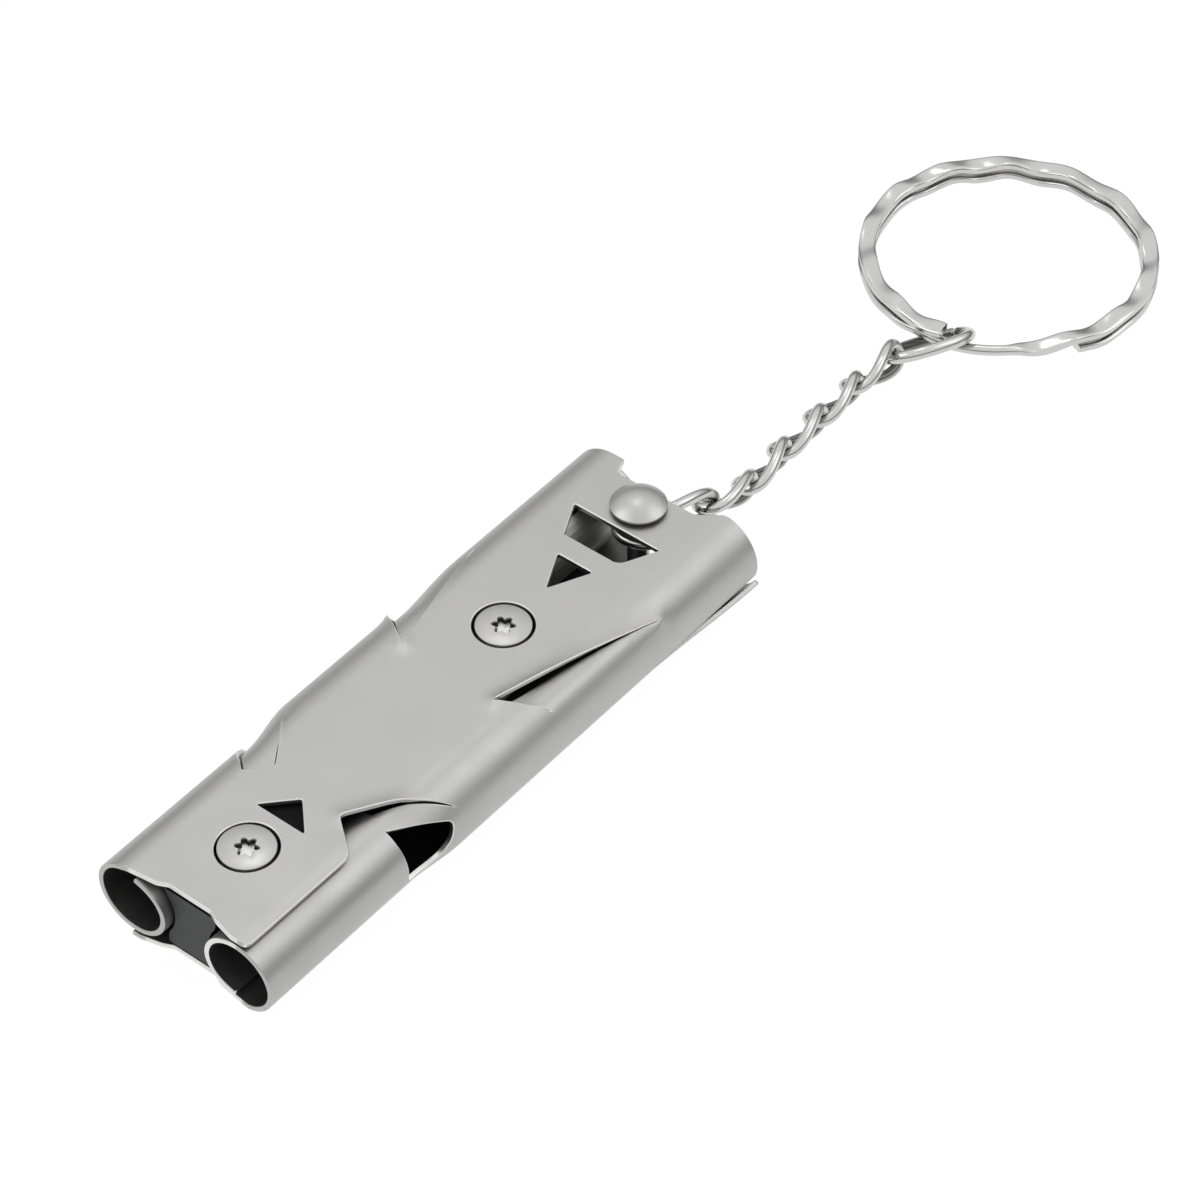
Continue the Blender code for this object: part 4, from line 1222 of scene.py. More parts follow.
@dataclass
class EndPlug:
    """Dished disc that closes the far end of a sound tube."""

    side: Side
    radius: float = 3.3 * MM
    length: float = 2.4 * MM
    inset: float = 0.25 * MM
    bevel: float = 0.35 * MM
    bevel_steps: int = 5
    back_share: float = 0.5
    dish: float = 0.25 * MM
    dish_shares: Triple = (0.8, 0.7, 0.1)
    # Painted light: the whole disc takes this share of the steel's lighter colour
    wear_and_highlight: float = 0.6

    def build(self, steel: bpy.types.Material) -> bpy.types.Object:
        """Make the disc.

        Args:
            steel: its finish.

        Returns:
            The disc.
        """
        node = "end_plug_" + self.side.name.lower()
        profile = [(self.back_share * self.radius, 0), (self.radius, 0)]
        for turn in spread(0, math.pi / 2, self.bevel_steps):
            profile.append((self.radius - self.bevel * (1 - math.cos(turn)),
                            self.length - self.bevel * (1 - math.sin(turn))))
        rim, foot, middle = (self.radius * share for share in self.dish_shares)
        profile += [(rim, self.length), (foot, self.length - self.dish), (middle, self.length - self.dish)]
        start = SheetBody.length / 2 - self.inset - self.length
        centre = (start, self.side.value * SheetBody.wrap_spacing / 2, SheetBody.height / 2)
        place = Matrix.Translation(centre) @ Matrix.Rotation(math.pi / 2, 4, "Y")
        return add_piece(node, "whistle", node, Slot.SATIN, skin(turned(profile, place)), steel, self.wear_and_highlight)


# Chain and split ring


@dataclass
class Chain:
    """Twisted curb chain from the rivet to an open loop of thicker wire."""

    link_wire: float = 1.05 * MM
    link_length: float = 8.0 * MM
    link_width: float = 5.0 * MM
    link_gap: float = 0.3 * MM
    fullness: float = 0.18
    leans: Pair = (-20, -91)
    first_length: float = 6.0 * MM
    first_width: float = 5.2 * MM
    first_height: float = 5.7 * MM
    first_leans: Pair = (0, 45)
    second_dip: float = 0.55
    second_leans: Pair = (-40, -95)
    last_leans: Pair = (-20, -110)
    floor_gap: float = 0.25 * MM
    headings: tuple[float, ...] = (0, -22, -3, 3, 1, 1, -5, -26)
    loop_wire: float = 1.15 * MM
    loop_length: float = 9.5 * MM
    loop_width: float = 6.6 * MM
    loop_lean: float = -35
    loop_split: float = 0.25 * MM
    loop_split_turn: float = math.radians(28)
    rivet_x: float = Rivet.x
    rivet_diameter: float = 2 * Rivet.shank
    # How the painted shade on a link's wire rises from its outer side to its inner side
    painted_shade_slope: float = 0.6
    painted_shade_middle: float = 0.35
    points: int = 72

    def __post_init__(self) -> None:
        """Work out how far a joint is from a link's end, and how far the first link is behind the rivet."""
        self.half_joint = (self.link_wire + self.link_gap) / 2
        self.behind_rivet = (self.rivet_diameter + self.link_wire) / 2 + self.link_gap

    def direction(self, turn: float, dip: float) -> Vector:
        """Unit vector along a heading that dips below the level.

        Args:
            turn: the heading.
            dip: angle below the level.

        Returns:
            The vector.
        """
        level = math.cos(dip)
        return Vector((math.cos(turn) * level, math.sin(turn) * level, -math.sin(dip)))

    def places(self) -> list[Matrix]:
        """Where each link and the loop sit, in order from the rivet.

        Returns:
            One placing matrix for each.
        """
        first = self.first_length - self.link_wire - self.behind_rivet - self.half_joint
        pitch = self.link_length - self.link_wire - 2 * self.half_joint
        drop = self.first_height - self.link_width / 2 - self.floor_gap
        drops = {1: self.second_dip * drop, 2: (1 - self.second_dip) * drop}
        here = Vector((self.rivet_x - SheetBody.length / 2, 0, self.first_height))
        made = []
        for k, heading in enumerate(self.headings):
            turn = math.radians(heading)
            dip = math.asin(drops.get(k, 0.0) / pitch)
            made.append(placed(here, turn, dip))
            here = here + self.direction(turn, dip) * (pitch if k else first)
        return made

    def oval(self, place: Matrix, size: Pair, leans: Pair, near: float,
             turns: list[float]) -> tuple[list[Vector], list[Vector]]:
        """Middle of an oval link's wire, leaning more from end to end.

        Args:
            place: where the link sits.
            size: half length and half width of the oval.
            leans: lean at the near and the far end, in degrees.
            near: place of the near end along X.
            turns: turns round the oval.

        Returns:
            The places and the direction across the oval at each.
        """
        line, ups = [], []
        half, side = size
        tilt = place.to_3x3()
        for turn in turns:
            along = half + half * math.cos(turn)
            across = side * math.sin(turn) * (1 + self.fullness * math.cos(turn) ** 2)
            lean = math.radians(mix(*leans, along / half / 2))
            line.append(place @ Vector((along + near, across * math.cos(lean), across * math.sin(lean))))
            ups.append(tilt @ Vector((0, -math.sin(lean), math.cos(lean))))
        return line, ups

    def link(self, k: int, place: Matrix, steel: bpy.types.Material) -> bpy.types.Object:
        """Make one closed link.

        Args:
            k: number of the link, from 0.
            place: where it sits.
            steel: its finish.

        Returns:
            The link.
        """
        length, width, near = self.link_length, self.link_width, -self.half_joint
        last = len(self.headings) - 2
        leans = {0: self.first_leans, 1: self.second_leans, last: self.last_leans}.get(k, self.leans)
        if k == 0:
            length, width, near = self.first_length, self.first_width, -self.behind_rivet
        size = ((length - self.link_wire) / 2, (width - self.link_wire) / 2)
        turns = [math.tau * (j + 0.5) / self.points for j in range(self.points)]
        rings = wire(*self.oval(place, size, leans, near, turns), self.link_wire / 2, True)
        name = f"chain_link_{k + 1}"
        # Painted shade on the inner side of the link
        painted_shade = self.painted_shade_at(rings, self.link_wire / 2)
        return add_piece(name, f"link_{k + 1}", name, Slot.POLISHED, skin(rings, True), steel, painted_shade=painted_shade)

    def painted_shade_at(self, rings: Rings, radius: float) -> list[float]:
        """How much painted shade a link has at each point: none on its outer side, most on its inner side,
        where the next link fills and shades it.

        Args:
            rings: rings of the link's wire.
            radius: radius of the wire.

        Returns:
            One value for each point, from 0 to 1.
        """
        middles = [sum(ring, Vector()) / len(ring) for ring in rings]
        centre = sum(middles, Vector()) / len(middles)
        made = []
        for ring, middle in zip(rings, middles):
            inwards = (centre - middle).normalized()
            for point in ring:
                share = (point - middle).dot(inwards) / radius
                made.append(smooth(share * self.painted_shade_slope + self.painted_shade_middle))
        return made

    def loop(self, place: Matrix, steel: bpy.types.Material) -> bpy.types.Object:
        """Make the open loop.

        Args:
            place: where it sits.
            steel: its finish.

        Returns:
            The loop.
        """
        size = ((self.loop_length - self.loop_wire) / 2, (self.loop_width - self.loop_wire) / 2)
        gap = self.loop_split / size[0]
        start = self.loop_split_turn + gap / 2
        turns = spread(start, start + math.tau - gap, self.points)
        leans = (self.loop_lean, self.loop_lean)
        rings = wire(*self.oval(place, size, leans, -self.half_joint, turns), self.loop_wire / 2, False)
        # Painted shade on the inner side of the loop
        painted_shade = self.painted_shade_at(rings, self.loop_wire / 2)
        return add_piece("end_loop", "loop", "end_loop", Slot.POLISHED, skin(rings), steel, painted_shade=painted_shade)


@dataclass
class SplitRing:
    """Hammered strip wound twice round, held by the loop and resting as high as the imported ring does."""

    diameter: float = 28.5 * MM
    strip: float = 1.7 * MM
    thickness: float = 0.75 * MM
    coil_gap: float = 0.45 * MM
    waves: int = 14
    packed_wave: float = 0.18 * MM
    wave: float = 0.16 * MM
    wave_tilt: float = math.radians(10)
    wave_drift: int = 3
    dent: float = 0.12
    squareness: float = 0.45
    lower_end: float = math.radians(54)
    upper_end: float = math.radians(-1)
    round_wire: float = 1.0 * MM
    round_span: Pair = (math.radians(-12), math.radians(24))
    round_blend: float = math.radians(10)
    heading: float = math.radians(9)
    play: float = 1.5 * MM
    sag: float = 0.3 * MM
    raised: float = 1.6 * MM
    points_per_turn: int = 240
    section_points: int = 20

    def flatness(self, turn: float) -> float:
        """How flat the strip is at a turn: 0 on its round part at the loop, else 1.

        Args:
            turn: turn round the ring.

        Returns:
            The share.
        """
        start, end = self.round_span
        away = abs(turn - math.tau - (start + end) / 2) - (end - start) / 2
        return smooth(away / self.round_blend)

    def level(self, turn: float) -> float:
        """Height of the strip's middle, which climbs between its two ends.

        Args:
            turn: turn round the ring.

        Returns:
            The height.
        """
        share = (turn - math.tau - self.upper_end) / (self.lower_end - self.upper_end)
        return (self.thickness + self.coil_gap) * smooth(share)

    def section(self, flat: float, tilt: float) -> list[Flat]:
        """Section of the strip, from round wire to a flat strip with soft edges.

        Args:
            flat: 0 for round wire, 1 for flat strip.
            tilt: how far the section is rolled about the strip.

        Returns:
            Its points, outwards and up.
        """
        wide = mix(self.round_wire, self.strip, flat) / 2
        high = mix(self.round_wire, self.thickness, flat) / 2
        power = mix(1.0, self.squareness, flat)
        points = []
        for k in range(self.section_points):
            angle = math.tau * (k + 0.5) / self.section_points
            out = wide * math.copysign(abs(math.cos(angle)) ** power, math.cos(angle))
            up = high * math.copysign(abs(math.sin(angle)) ** power, math.sin(angle))
            points.append((out * math.cos(tilt) - up * math.sin(tilt),
                           out * math.sin(tilt) + up * math.cos(tilt)))
        return points

    def build(self, chain: Chain, steel: bpy.types.Material) -> bpy.types.Object:
        """Make the ring.

        Args:
            chain: the chain whose loop holds it.
            steel: its finish.

        Returns:
            The ring.
        """
        loop_place = chain.places()[-1]
        turn_of_loop = math.radians(chain.headings[-1])
        reach = chain.loop_length - chain.loop_wire - chain.half_joint - self.strip / 2 - self.play
        hold = loop_place.translation + chain.direction(turn_of_loop, 0) * reach - Vector((0, 0, self.sag))
        radius = (self.diameter - self.strip) / 2
        first, last = self.lower_end, 2 * math.tau + self.upper_end
        at_loop = self.level(math.tau)
        resting = at_loop + self.thickness / 2 + self.packed_wave + self.raised
        lift = math.asin((hold.z - resting) / (2 * radius + self.strip / 2))
        place = placed(hold, self.heading, lift)
        rings = []
        for turn in spread(first, last, round((last - first) / math.tau * self.points_per_turn)):
            flat = self.flatness(turn)
            level = self.level(turn) - at_loop + flat * self.wave * math.cos(self.waves * turn)
            tilt = flat * self.wave_tilt * math.sin(self.waves * turn + math.sin(self.wave_drift * turn))
            dent = 1 - flat * self.dent * (1 + math.sin(self.waves * turn)) / 2
            ring = []
            for out, up in self.section(flat, tilt)[::-1]:
                arm = radius + (out if out > 0 else out * dent)
                spot = Vector((radius - arm * math.cos(turn), -arm * math.sin(turn), level + up))
                ring.append(place @ spot)
            rings.append(ring)
        return add_piece("split_ring", "ring", "split_ring", Slot.POLISHED, skin(rings), steel)


# Finishes


@dataclass(frozen=True)
class Socket:
    """One socket of a shader node group."""

    name: str
    kind: str
    value: float | tuple[float, ...] | None = None


class EffectGroup:
    """A shader node group with named sockets that several finishes share."""

    def __init__(self, name: str, inputs: list[Socket], outputs: list[Socket]) -> None:
        """Make the group with its sockets.

        Args:
            name: name of the group.
            inputs: its inputs in order.
            outputs: its outputs in order.
        """
        self.tree = bpy.data.node_groups.new(name, "ShaderNodeTree")
        for sockets, direction in ((inputs, "INPUT"), (outputs, "OUTPUT")):
            for socket in sockets:
                made = self.tree.interface.new_socket(socket.name, in_out=direction, socket_type=socket.kind)
                if socket.value is not None:
                    made.default_value = socket.value
        self.inlet = self.tree.nodes.new("NodeGroupInput")
        self.outlet = self.tree.nodes.new("NodeGroupOutput")

    def add(self, kind: str, **settings: object) -> bpy.types.Node:
        """Add a node with its settings."""
        return add_node(self.tree, kind, **settings)

    def join(self, start: bpy.types.NodeSocket, end: bpy.types.NodeSocket) -> None:
        """Link two sockets."""
        self.tree.links.new(start, end)


def add_node(tree: bpy.types.NodeTree, kind: str, **settings: object) -> bpy.types.Node:
    """Add a node to a tree.

    Args:
        tree: the tree.
        kind: the node's type without its common prefix.
        settings: properties of the node, or values of its inputs by name.

    Returns:
        The new node.
    """
    node = tree.nodes.new("ShaderNode" + kind)
    for name, value in settings.items():
        if hasattr(node, name):
            setattr(node, name, value)
        else:
            node.inputs[name.replace("_", " ")].default_value = value
    return node


def make_blasted_grain() -> EffectGroup:
    """Fine even grain of bead-blasted metal.

    Returns:
        Group with a height for bump and a mask of slow patches.
    """
    group = EffectGroup("blasted_grain", [Socket("Grain Size", "NodeSocketFloat", 0.00012),
                                          Socket("Patch Size", "NodeSocketFloat", 0.006)],
                        [Socket("Height", "NodeSocketFloat"), Socket("Patches", "NodeSocketFloat")])
    where = group.add("TexCoord")
    for size, output, detail in (("Grain Size", "Height", 3.0), ("Patch Size", "Patches", 4.0)):
        scale = group.add("Math", operation="DIVIDE")
        scale.inputs[0].default_value = 1.0
        group.join(group.inlet.outputs[size], scale.inputs[1])
        noise = group.add("TexNoise", Detail=detail, Roughness=0.6)
        group.join(where.outputs["Object"], noise.inputs["Vector"])
        group.join(scale.outputs[0], noise.inputs["Scale"])
        group.join(noise.outputs["Fac"], group.outlet.inputs[output])
    return group


def make_masked_tint() -> EffectGroup:
    """A second colour mixed in by a mask and broken up by noise: lighter edges as rubbed metal and painted
    highlight, painted shade, and paler patches on plastic.

    Returns:
        Group with the mixed colour and the mask.
    """
    group = EffectGroup("masked_tint", [Socket("Color", "NodeSocketColor", (0.6, 0.6, 0.6, 1)),
                                      Socket("Tint Color", "NodeSocketColor", (0.8, 0.8, 0.8, 1)),
                                      Socket("Edge", "NodeSocketFloat", 0.0),
                                      Socket("Breakup", "NodeSocketFloat", 0.25)],
                        [Socket("Color", "NodeSocketColor"), Socket("Mask", "NodeSocketFloat")])
    where = group.add("TexCoord")
    noise = group.add("TexNoise", Scale=900.0, Detail=4.0)
    group.join(where.outputs["Object"], noise.inputs["Vector"])
    loss = group.add("Math", operation="MULTIPLY")
    group.join(noise.outputs["Fac"], loss.inputs[0])
    group.join(group.inlet.outputs["Breakup"], loss.inputs[1])
    mask = group.add("Math", operation="SUBTRACT", use_clamp=True)
    group.join(group.inlet.outputs["Edge"], mask.inputs[0])
    group.join(loss.outputs[0], mask.inputs[1])
    blend = group.add("Mix", data_type="RGBA")
    group.join(mask.outputs[0], blend.inputs[0])
    for socket, index in zip(("Color", "Tint Color"), MIX_COLOURS):
        group.join(group.inlet.outputs[socket], blend.inputs[index])
    group.join(blend.outputs[MIXED_COLOUR], group.outlet.inputs["Color"])
    group.join(mask.outputs[0], group.outlet.inputs["Mask"])
    return group


def new_material(name: str) -> tuple[bpy.types.Material, bpy.types.NodeTree, bpy.types.Node]:
    """Make a plain material and hand it out with its tree and its main shader.

    Args:
        name: its name.

    Returns:
        The material, its tree and the shader in it.
    """
    made = bpy.data.materials.new(name)
    made.use_nodes = True
    return made, made.node_tree, made.node_tree.nodes["Principled BSDF"]


def grey(value: float) -> tuple[float, ...]:
    """Plain grey as a shader takes it."""
    return (value, value, value, 1.0)


@dataclass(frozen=True)
class Effects:
    """The shared effect groups."""

    grain: EffectGroup
    wear: EffectGroup


@dataclass(frozen=True)
class SteelFinish:
    """A steel finish, from blasted sheet to polished wire."""

    name: str
    colour: Triple
    wear_and_highlight: Triple
    rough_low: float
    rough_high: float
    edge_rough: float
    # Dark grey painted as shade where the mesh asks for it, and how much noise breaks that shade up
    painted_shade: float = 0.14
    painted_shade_breakup: float = 0.3
    patch_span: Pair = (0.3, 0.7)
    grain_size: float = 0.00012
    grain_depth: float = 0.0000015

    def material(self, effects: Effects) -> bpy.types.Material:
        """Build the finish's material.

        Args:
            effects: the shared effect groups.

        Returns:
            The material.
        """
        made, tree, shader = new_material(self.name)
        shader.inputs["Metallic"].default_value = 1.0
        grain = add_node(tree, "Group", node_tree=effects.grain.tree, Grain_Size=self.grain_size)
        # Edges take the lighter colour, as rubbed metal and painted highlight
        edge = add_node(tree, "Attribute", attribute_name=EDGE)
        wear = add_node(tree, "Group", node_tree=effects.wear.tree)
        wear.inputs["Color"].default_value = (*self.colour, 1)
        wear.inputs["Tint Color"].default_value = (*self.wear_and_highlight, 1)
        tree.links.new(edge.outputs["Fac"], wear.inputs["Edge"])
        # Painted shade: the colour is mixed towards the dark grey where the mesh's shade attribute says so
        inside = add_node(tree, "Attribute", attribute_name=PAINTED_SHADE)
        painted_shade_tint = add_node(tree, "Group", node_tree=effects.wear.tree, Breakup=self.painted_shade_breakup)
        painted_shade_tint.inputs["Tint Color"].default_value = grey(self.painted_shade)
        tree.links.new(wear.outputs["Color"], painted_shade_tint.inputs["Color"])
        tree.links.new(inside.outputs["Fac"], painted_shade_tint.inputs["Edge"])
        tree.links.new(painted_shade_tint.outputs["Color"], shader.inputs["Base Color"])
        low, high = self.patch_span
        rough = add_node(tree, "MapRange", From_Min=low, From_Max=high,
                         To_Min=self.rough_low, To_Max=self.rough_high)
        tree.links.new(grain.outputs["Patches"], rough.inputs["Value"])
        polished = add_node(tree, "Mix", data_type="FLOAT")
        plain, wear_highlight_share = (polished.inputs[index] for index in MIX_NUMBERS)
        tree.links.new(wear.outputs["Mask"], polished.inputs[0])
        tree.links.new(rough.outputs["Result"], plain)
        wear_highlight_share.default_value = self.edge_rough
        tree.links.new(polished.outputs[0], shader.inputs["Roughness"])
        bump = add_node(tree, "Bump", Distance=self.grain_depth)
        tree.links.new(grain.outputs["Height"], bump.inputs["Height"])
        tree.links.new(bump.outputs["Normal"], shader.inputs["Normal"])
        return made


@dataclass(frozen=True)
class PlasticFinish:
    """A moulded plastic with a slightly uneven surface."""

    name: str
    colour: Triple
    pale: Triple
    roughness: float
    shine: float
    texture_size: float = 0.0006
    patch_size: float = 0.0024
    texture_depth: float = 0.00002

    def material(self, effects: Effects) -> bpy.types.Material:
        """Build the finish's material.

        Args:
            effects: the shared effect groups.

        Returns:
            The material.
        """
        made, tree, shader = new_material(self.name)
        shader.inputs["Roughness"].default_value = self.roughness
        shader.inputs["Specular IOR Level"].default_value = self.shine
        grain = add_node(tree, "Group", node_tree=effects.grain.tree, Grain_Size=self.texture_size,
                         Patch_Size=self.patch_size)
        wear = add_node(tree, "Group", node_tree=effects.wear.tree, Breakup=0.0)
        wear.inputs["Color"].default_value = (*self.colour, 1)
        wear.inputs["Tint Color"].default_value = (*self.pale, 1)
        tree.links.new(grain.outputs["Patches"], wear.inputs["Edge"])
        tree.links.new(wear.outputs["Color"], shader.inputs["Base Color"])
        bump = add_node(tree, "Bump", Distance=self.texture_depth)
        tree.links.new(grain.outputs["Height"], bump.inputs["Height"])
        tree.links.new(bump.outputs["Normal"], shader.inputs["Normal"])
        return made


# Each steel's lighter colour is painted on its edges, as rubbed metal and painted highlight; its dark grey
# is painted shade
SATIN_SHEET = SteelFinish("satin_sheet", colour=(0.472, 0.47, 0.463), wear_and_highlight=(0.78, 0.78, 0.77),
                          rough_low=0.4, rough_high=0.48, edge_rough=0.3)
BRIGHT_WIRE = SteelFinish("bright_wire", colour=(0.58, 0.578, 0.57), wear_and_highlight=(0.85, 0.85, 0.84),
                          rough_low=0.16, rough_high=0.26, edge_rough=0.15, painted_shade=0.07)
TURNED_SCREW = SteelFinish("turned_screw", colour=(0.49, 0.488, 0.48), wear_and_highlight=(0.88, 0.88, 0.87),
                           rough_low=0.32, rough_high=0.4, edge_rough=0.25)
# Painted shade: a darker copy of the sheet's steel, for the walls inside the body
INNER_WALL = SteelFinish("inner_wall_steel", colour=(0.36, 0.358, 0.35), wear_and_highlight=(0.6, 0.6, 0.59),
                         rough_low=0.4, rough_high=0.55, edge_rough=0.35)
# Painted light and painted shade in the screws' star recess: a light floor and a near-black wall
RECESS_FLOOR_PAINTED_LIGHT = SteelFinish("recess_floor_painted_light", colour=(0.8, 0.8, 0.79), wear_and_highlight=(0.8, 0.8, 0.79),
                           rough_low=0.42, rough_high=0.5, edge_rough=0.04)
RECESS_PAINTED_SHADE = PlasticFinish("recess_painted_shade", colour=(0.012, 0.012, 0.012), pale=(0.03, 0.03, 0.03),
                             roughness=0.6, shine=0.2)
CORE_PLASTIC = PlasticFinish("core_plastic", colour=(0.022, 0.0225, 0.024), pale=(0.036, 0.037, 0.039),
                             roughness=0.5, shine=0.35)
PLUG_PLASTIC = PlasticFinish("plug_plastic", colour=(0.006, 0.006, 0.007), pale=(0.012, 0.012, 0.013),
                             roughness=0.6, shine=0.06)


# Studio


@dataclass(frozen=True)
class Lamp:
    """Square soft lamp that faces the object."""

    name: str
    place: Triple
    size: float
    power: float

    def add(self) -> None:
        """Hang the lamp."""
        data = bpy.data.lights.new(self.name, "AREA")
        data.size = self.size
        data.energy = self.power
        lamp = link_to_scene(bpy.data.objects.new(self.name, data))
        lamp.location = self.place
        lamp.rotation_euler = (-Vector(self.place)).to_track_quat("-Z", "Y").to_euler()


@dataclass
class Studio:
    """Camera at the photograph's angle, white floor and soft light."""

    camera_place: Triple = (-0.186884, -0.169054, 0.269179)
    heading: float = math.radians(38.985)
    dip: float = math.radians(44.945)
    roll: float = math.radians(-0.143)
    lens: float = 129.31
    sensor: float = 36.0
    clip_start: float = 0.01
    floor_half: float = 1.5
    floor_drop: float = 0.0002
    floor_colour: float = 0.92
    floor_roughness: float = 0.9
    floor_glow: float = 0.88
    floor_strength: float = 1.06
    sky: float = 0.8
    wall: float = 0.17
    wall_span: Pair = (0.06, 0.62)
    lamps: tuple[Lamp, ...] = (Lamp("key", (0.33, -0.3, 0.5), size=0.42, power=0.4),
                               Lamp("fill", (-0.3, 0.35, 0.55), size=0.4, power=0.5),
                               Lamp("spark", (0.27, 0.25, 0.7), size=0.12, power=0.2))

    def add_camera(self) -> None:
        """Place the camera and make it the scene's."""
        data = bpy.data.cameras.new("camera")
        data.lens = self.lens
        data.sensor_width = self.sensor
        data.clip_start = self.clip_start
        camera = link_to_scene(bpy.data.objects.new("camera", data))
        look = Vector((math.cos(self.heading) * math.cos(self.dip),
                       math.sin(self.heading) * math.cos(self.dip), -math.sin(self.dip)))
        turn = look.to_track_quat("-Z", "Y") @ Quaternion((0, 0, 1), self.roll)
        camera.rotation_mode = "QUATERNION"
        camera.rotation_quaternion = turn
        camera.location = self.camera_place
        bpy.context.scene.camera = camera

    def seen_or_reflected(self, tree: bpy.types.NodeTree) -> bpy.types.NodeSocket:
        """Factor that is 1 for rays of the camera and for rays off metal and glass.

        Args:
            tree: tree of the material or world that asks.

        Returns:
            The socket with the factor.
        """
        path = add_node(tree, "LightPath")
        factor = path.outputs["Is Camera Ray"]
        for kind in ("Is Glossy Ray", "Is Transmission Ray"):
            either = add_node(tree, "Math", operation="MAXIMUM")
            tree.links.new(factor, either.inputs[0])
            tree.links.new(path.outputs[kind], either.inputs[1])
            factor = either.outputs[0]
        return factor

    def add_floor(self) -> None:
        """Add a white floor that keeps the object's shadow."""
        mesh = bpy.data.meshes.new("floor")
        half = self.floor_half
        corners = [(-half, -half, 0), (half, -half, 0), (half, half, 0), (-half, half, 0)]
        mesh.from_pydata(corners, [], [(0, 1, 2, 3)])
        floor = link_to_scene(bpy.data.objects.new("floor", mesh))
        floor.location.z = -self.floor_drop
        made, tree, shader = new_material("white_floor")
        shader.inputs["Base Color"].default_value = grey(self.floor_colour)
        shader.inputs["Roughness"].default_value = self.floor_roughness
        glow = add_node(tree, "Emission", Color=WHITE, Strength=self.floor_strength)
        share = add_node(tree, "Math", operation="MULTIPLY")
        share.inputs[1].default_value = self.floor_glow
        tree.links.new(self.seen_or_reflected(tree), share.inputs[0])
        blend = add_node(tree, "MixShader")
        tree.links.new(share.outputs[0], blend.inputs[0])
        tree.links.new(shader.outputs[0], blend.inputs[1])
        tree.links.new(glow.outputs[0], blend.inputs[2])
        tree.links.new(blend.outputs[0], tree.nodes["Material Output"].inputs["Surface"])
        mesh.materials.append(made)

    def add_world(self) -> None:
        """Light the scene with a plain sky, white overhead and greyer towards the walls of the room."""
        world = bpy.data.worlds.new("studio")
        world.use_nodes = True
        tree = world.node_tree
        sky = tree.nodes["Background"]
        sky.inputs["Color"].default_value = grey(self.sky)
        where = add_node(tree, "TexCoord")
        split = add_node(tree, "SeparateXYZ")
        tree.links.new(where.outputs["Generated"], split.inputs[0])
        ramp = add_node(tree, "ValToRGB")
        first, last = ramp.color_ramp.elements
        first.position, last.position = self.wall_span
        first.color, last.color = grey(self.wall), WHITE
        ramp.color_ramp.interpolation = "EASE"
        tree.links.new(split.outputs["Z"], ramp.inputs[0])
        path = add_node(tree, "LightPath")
        shown = add_node(tree, "Mix", data_type="RGBA")
        reflected, straight = (shown.inputs[index] for index in MIX_COLOURS)
        tree.links.new(path.outputs["Is Camera Ray"], shown.inputs[0])
        tree.links.new(ramp.outputs[0], reflected)
        straight.default_value = WHITE
        seen = add_node(tree, "Background")
        tree.links.new(shown.outputs[MIXED_COLOUR], seen.inputs["Color"])
        blend = add_node(tree, "MixShader")
        tree.links.new(self.seen_or_reflected(tree), blend.inputs[0])
        tree.links.new(sky.outputs[0], blend.inputs[1])
        tree.links.new(seen.outputs[0], blend.inputs[2])
        tree.links.new(blend.outputs[0], tree.nodes["World Output"].inputs["Surface"])
        bpy.context.scene.world = world

    def build(self) -> None:
        """Set up the whole studio."""
        self.add_camera()
        self.add_floor()
        self.add_world()
        for lamp in self.lamps:
            lamp.add()
        bpy.context.scene.view_settings.view_transform = "Standard"


def report(name: str, piece: bpy.types.Object) -> None:
    """Log one finished piece."""
    LOG.info("%s: %d faces", name, len(piece.data.polygons))


def dress_node(node: bpy.types.Object, finish: bpy.types.Material) -> None:
    """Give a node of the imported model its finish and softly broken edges.

    Args:
        node: the node's object.
        finish: its material.
    """
    node.data.materials.clear()
    node.data.materials.append(finish)
    bevel = node.modifiers.new("broken edges", "BEVEL")
    bevel.width = BROKEN_EDGE
    bevel.segments = BROKEN_EDGE_STEPS
    bevel.limit_method = "ANGLE"
    bevel.angle_limit = SHARP_ANGLE
    bevel.harden_normals = True


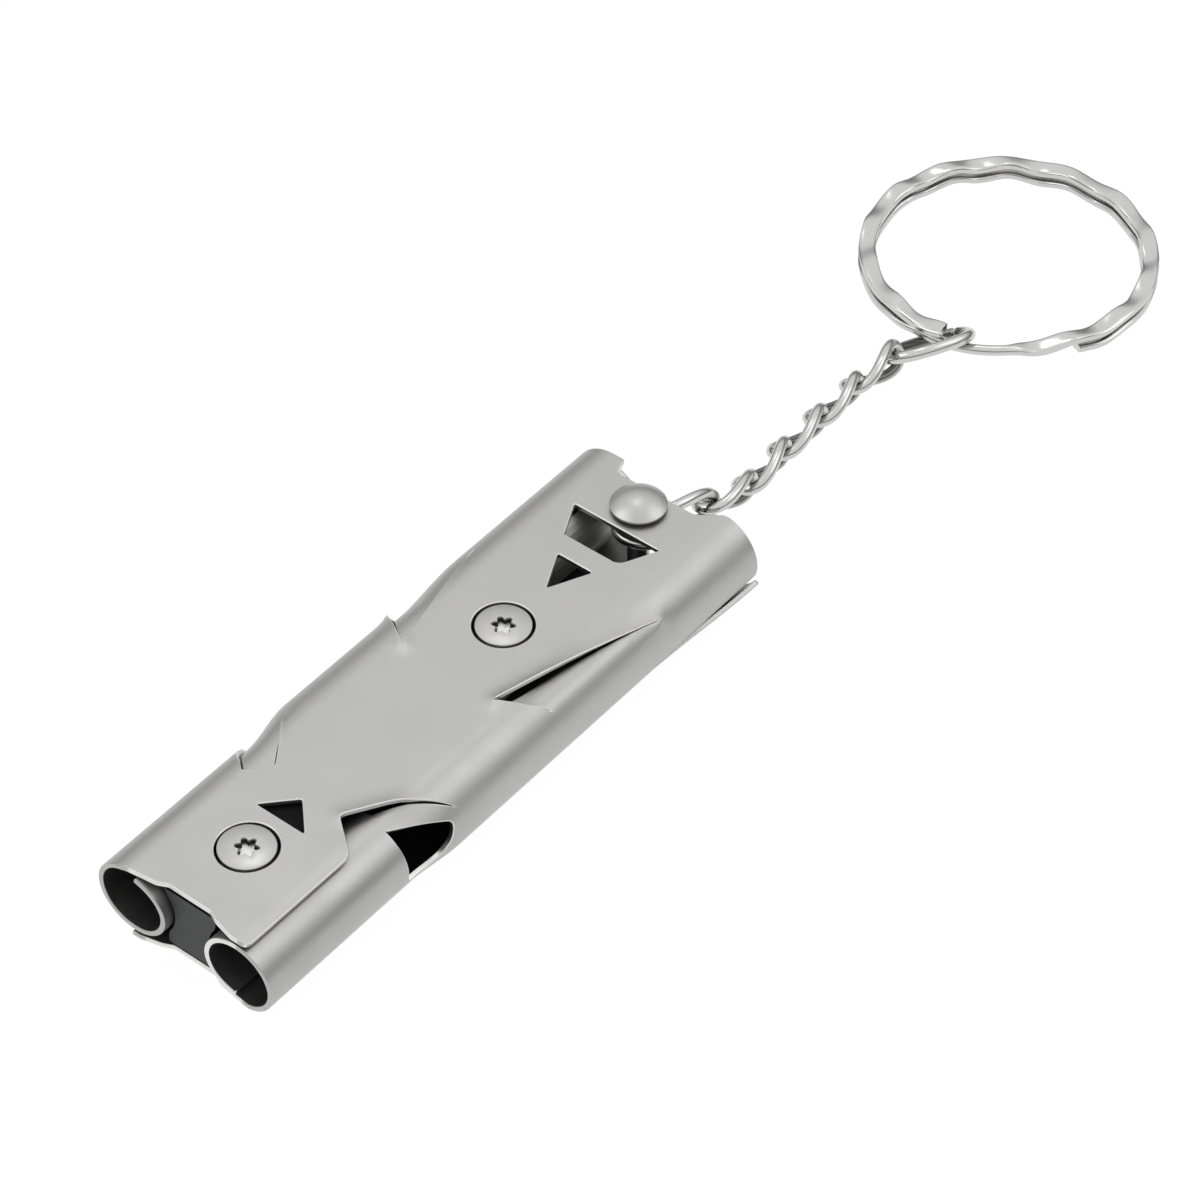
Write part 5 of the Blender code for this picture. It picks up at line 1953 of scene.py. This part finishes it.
def shade_core(core: bpy.types.Object, black: bpy.types.Material) -> None:
    """Give the core a black finish everywhere but on the face that it shows at the mouth, as painted shade
    inside the body.

    Args:
        core: the core's object.
        black: the darker finish, painted shade on the faces that don't face the mouth.
    """
    core.data.materials.append(black)
    # Painted shade: faces that don't face the mouth take the darker black plastic
    for face in core.data.polygons:
        face.material_index = 0 if face.normal.x < MOUTH_FACING else 1


def main() -> None:
    """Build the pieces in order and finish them."""
    logging.basicConfig(level=logging.INFO, format="%(message)s")
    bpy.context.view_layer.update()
    effects = Effects(make_blasted_grain(), make_masked_tint())
    finishes = {
        Slot.SATIN: SATIN_SHEET.material(effects),
        Slot.POLISHED: BRIGHT_WIRE.material(effects),
        Slot.SCREW: TURNED_SCREW.material(effects),
        Slot.PLASTIC: CORE_PLASTIC.material(effects),
        Slot.BLACK: PLUG_PLASTIC.material(effects),
    }
    recess_floor_painted_light = RECESS_FLOOR_PAINTED_LIGHT.material(effects)
    recess_wall = RECESS_PAINTED_SHADE.material(effects)
    inner_steel = INNER_WALL.material(effects)
    slots = {entry["node"]: Slot(entry["material_slot"]) for entry in frame["record"]["subparts"]}
    for name, node in frame["nodes"].items():
        dress_node(node, inner_steel if name.startswith("inner_wall") else finishes[slots[name]])
    shade_core(frame["nodes"]["core"], finishes[Slot.BLACK])
    Studio().build()
    body = SheetBody()
    report("rolled body", body.build(finishes[Slot.SATIN]))
    for name, x in zip(("front", "rear"), body.screw_places):
        fastener = FlushScrew("screw_" + name, x)
        report(name + " screw", fastener.screw(finishes[Slot.SCREW], recess_wall, recess_floor_painted_light))
        report(name + " sleeve nut", fastener.nut("sleeve_nut_" + name, finishes[Slot.SCREW]))
    report("rivet", Rivet().build(finishes[Slot.SCREW]))
    for side in Side:
        report(side.name.lower() + " end plug", EndPlug(side).build(finishes[Slot.SATIN]))
    chain = Chain()
    *links, loop_place = chain.places()
    for k, place in enumerate(links):
        report(f"chain link {k + 1}", chain.link(k, place, finishes[Slot.POLISHED]))
    report("end loop", chain.loop(loop_place, finishes[Slot.POLISHED]))
    report("split ring", SplitRing().build(chain, finishes[Slot.POLISHED]))


if __name__ == "__main__":
    main()
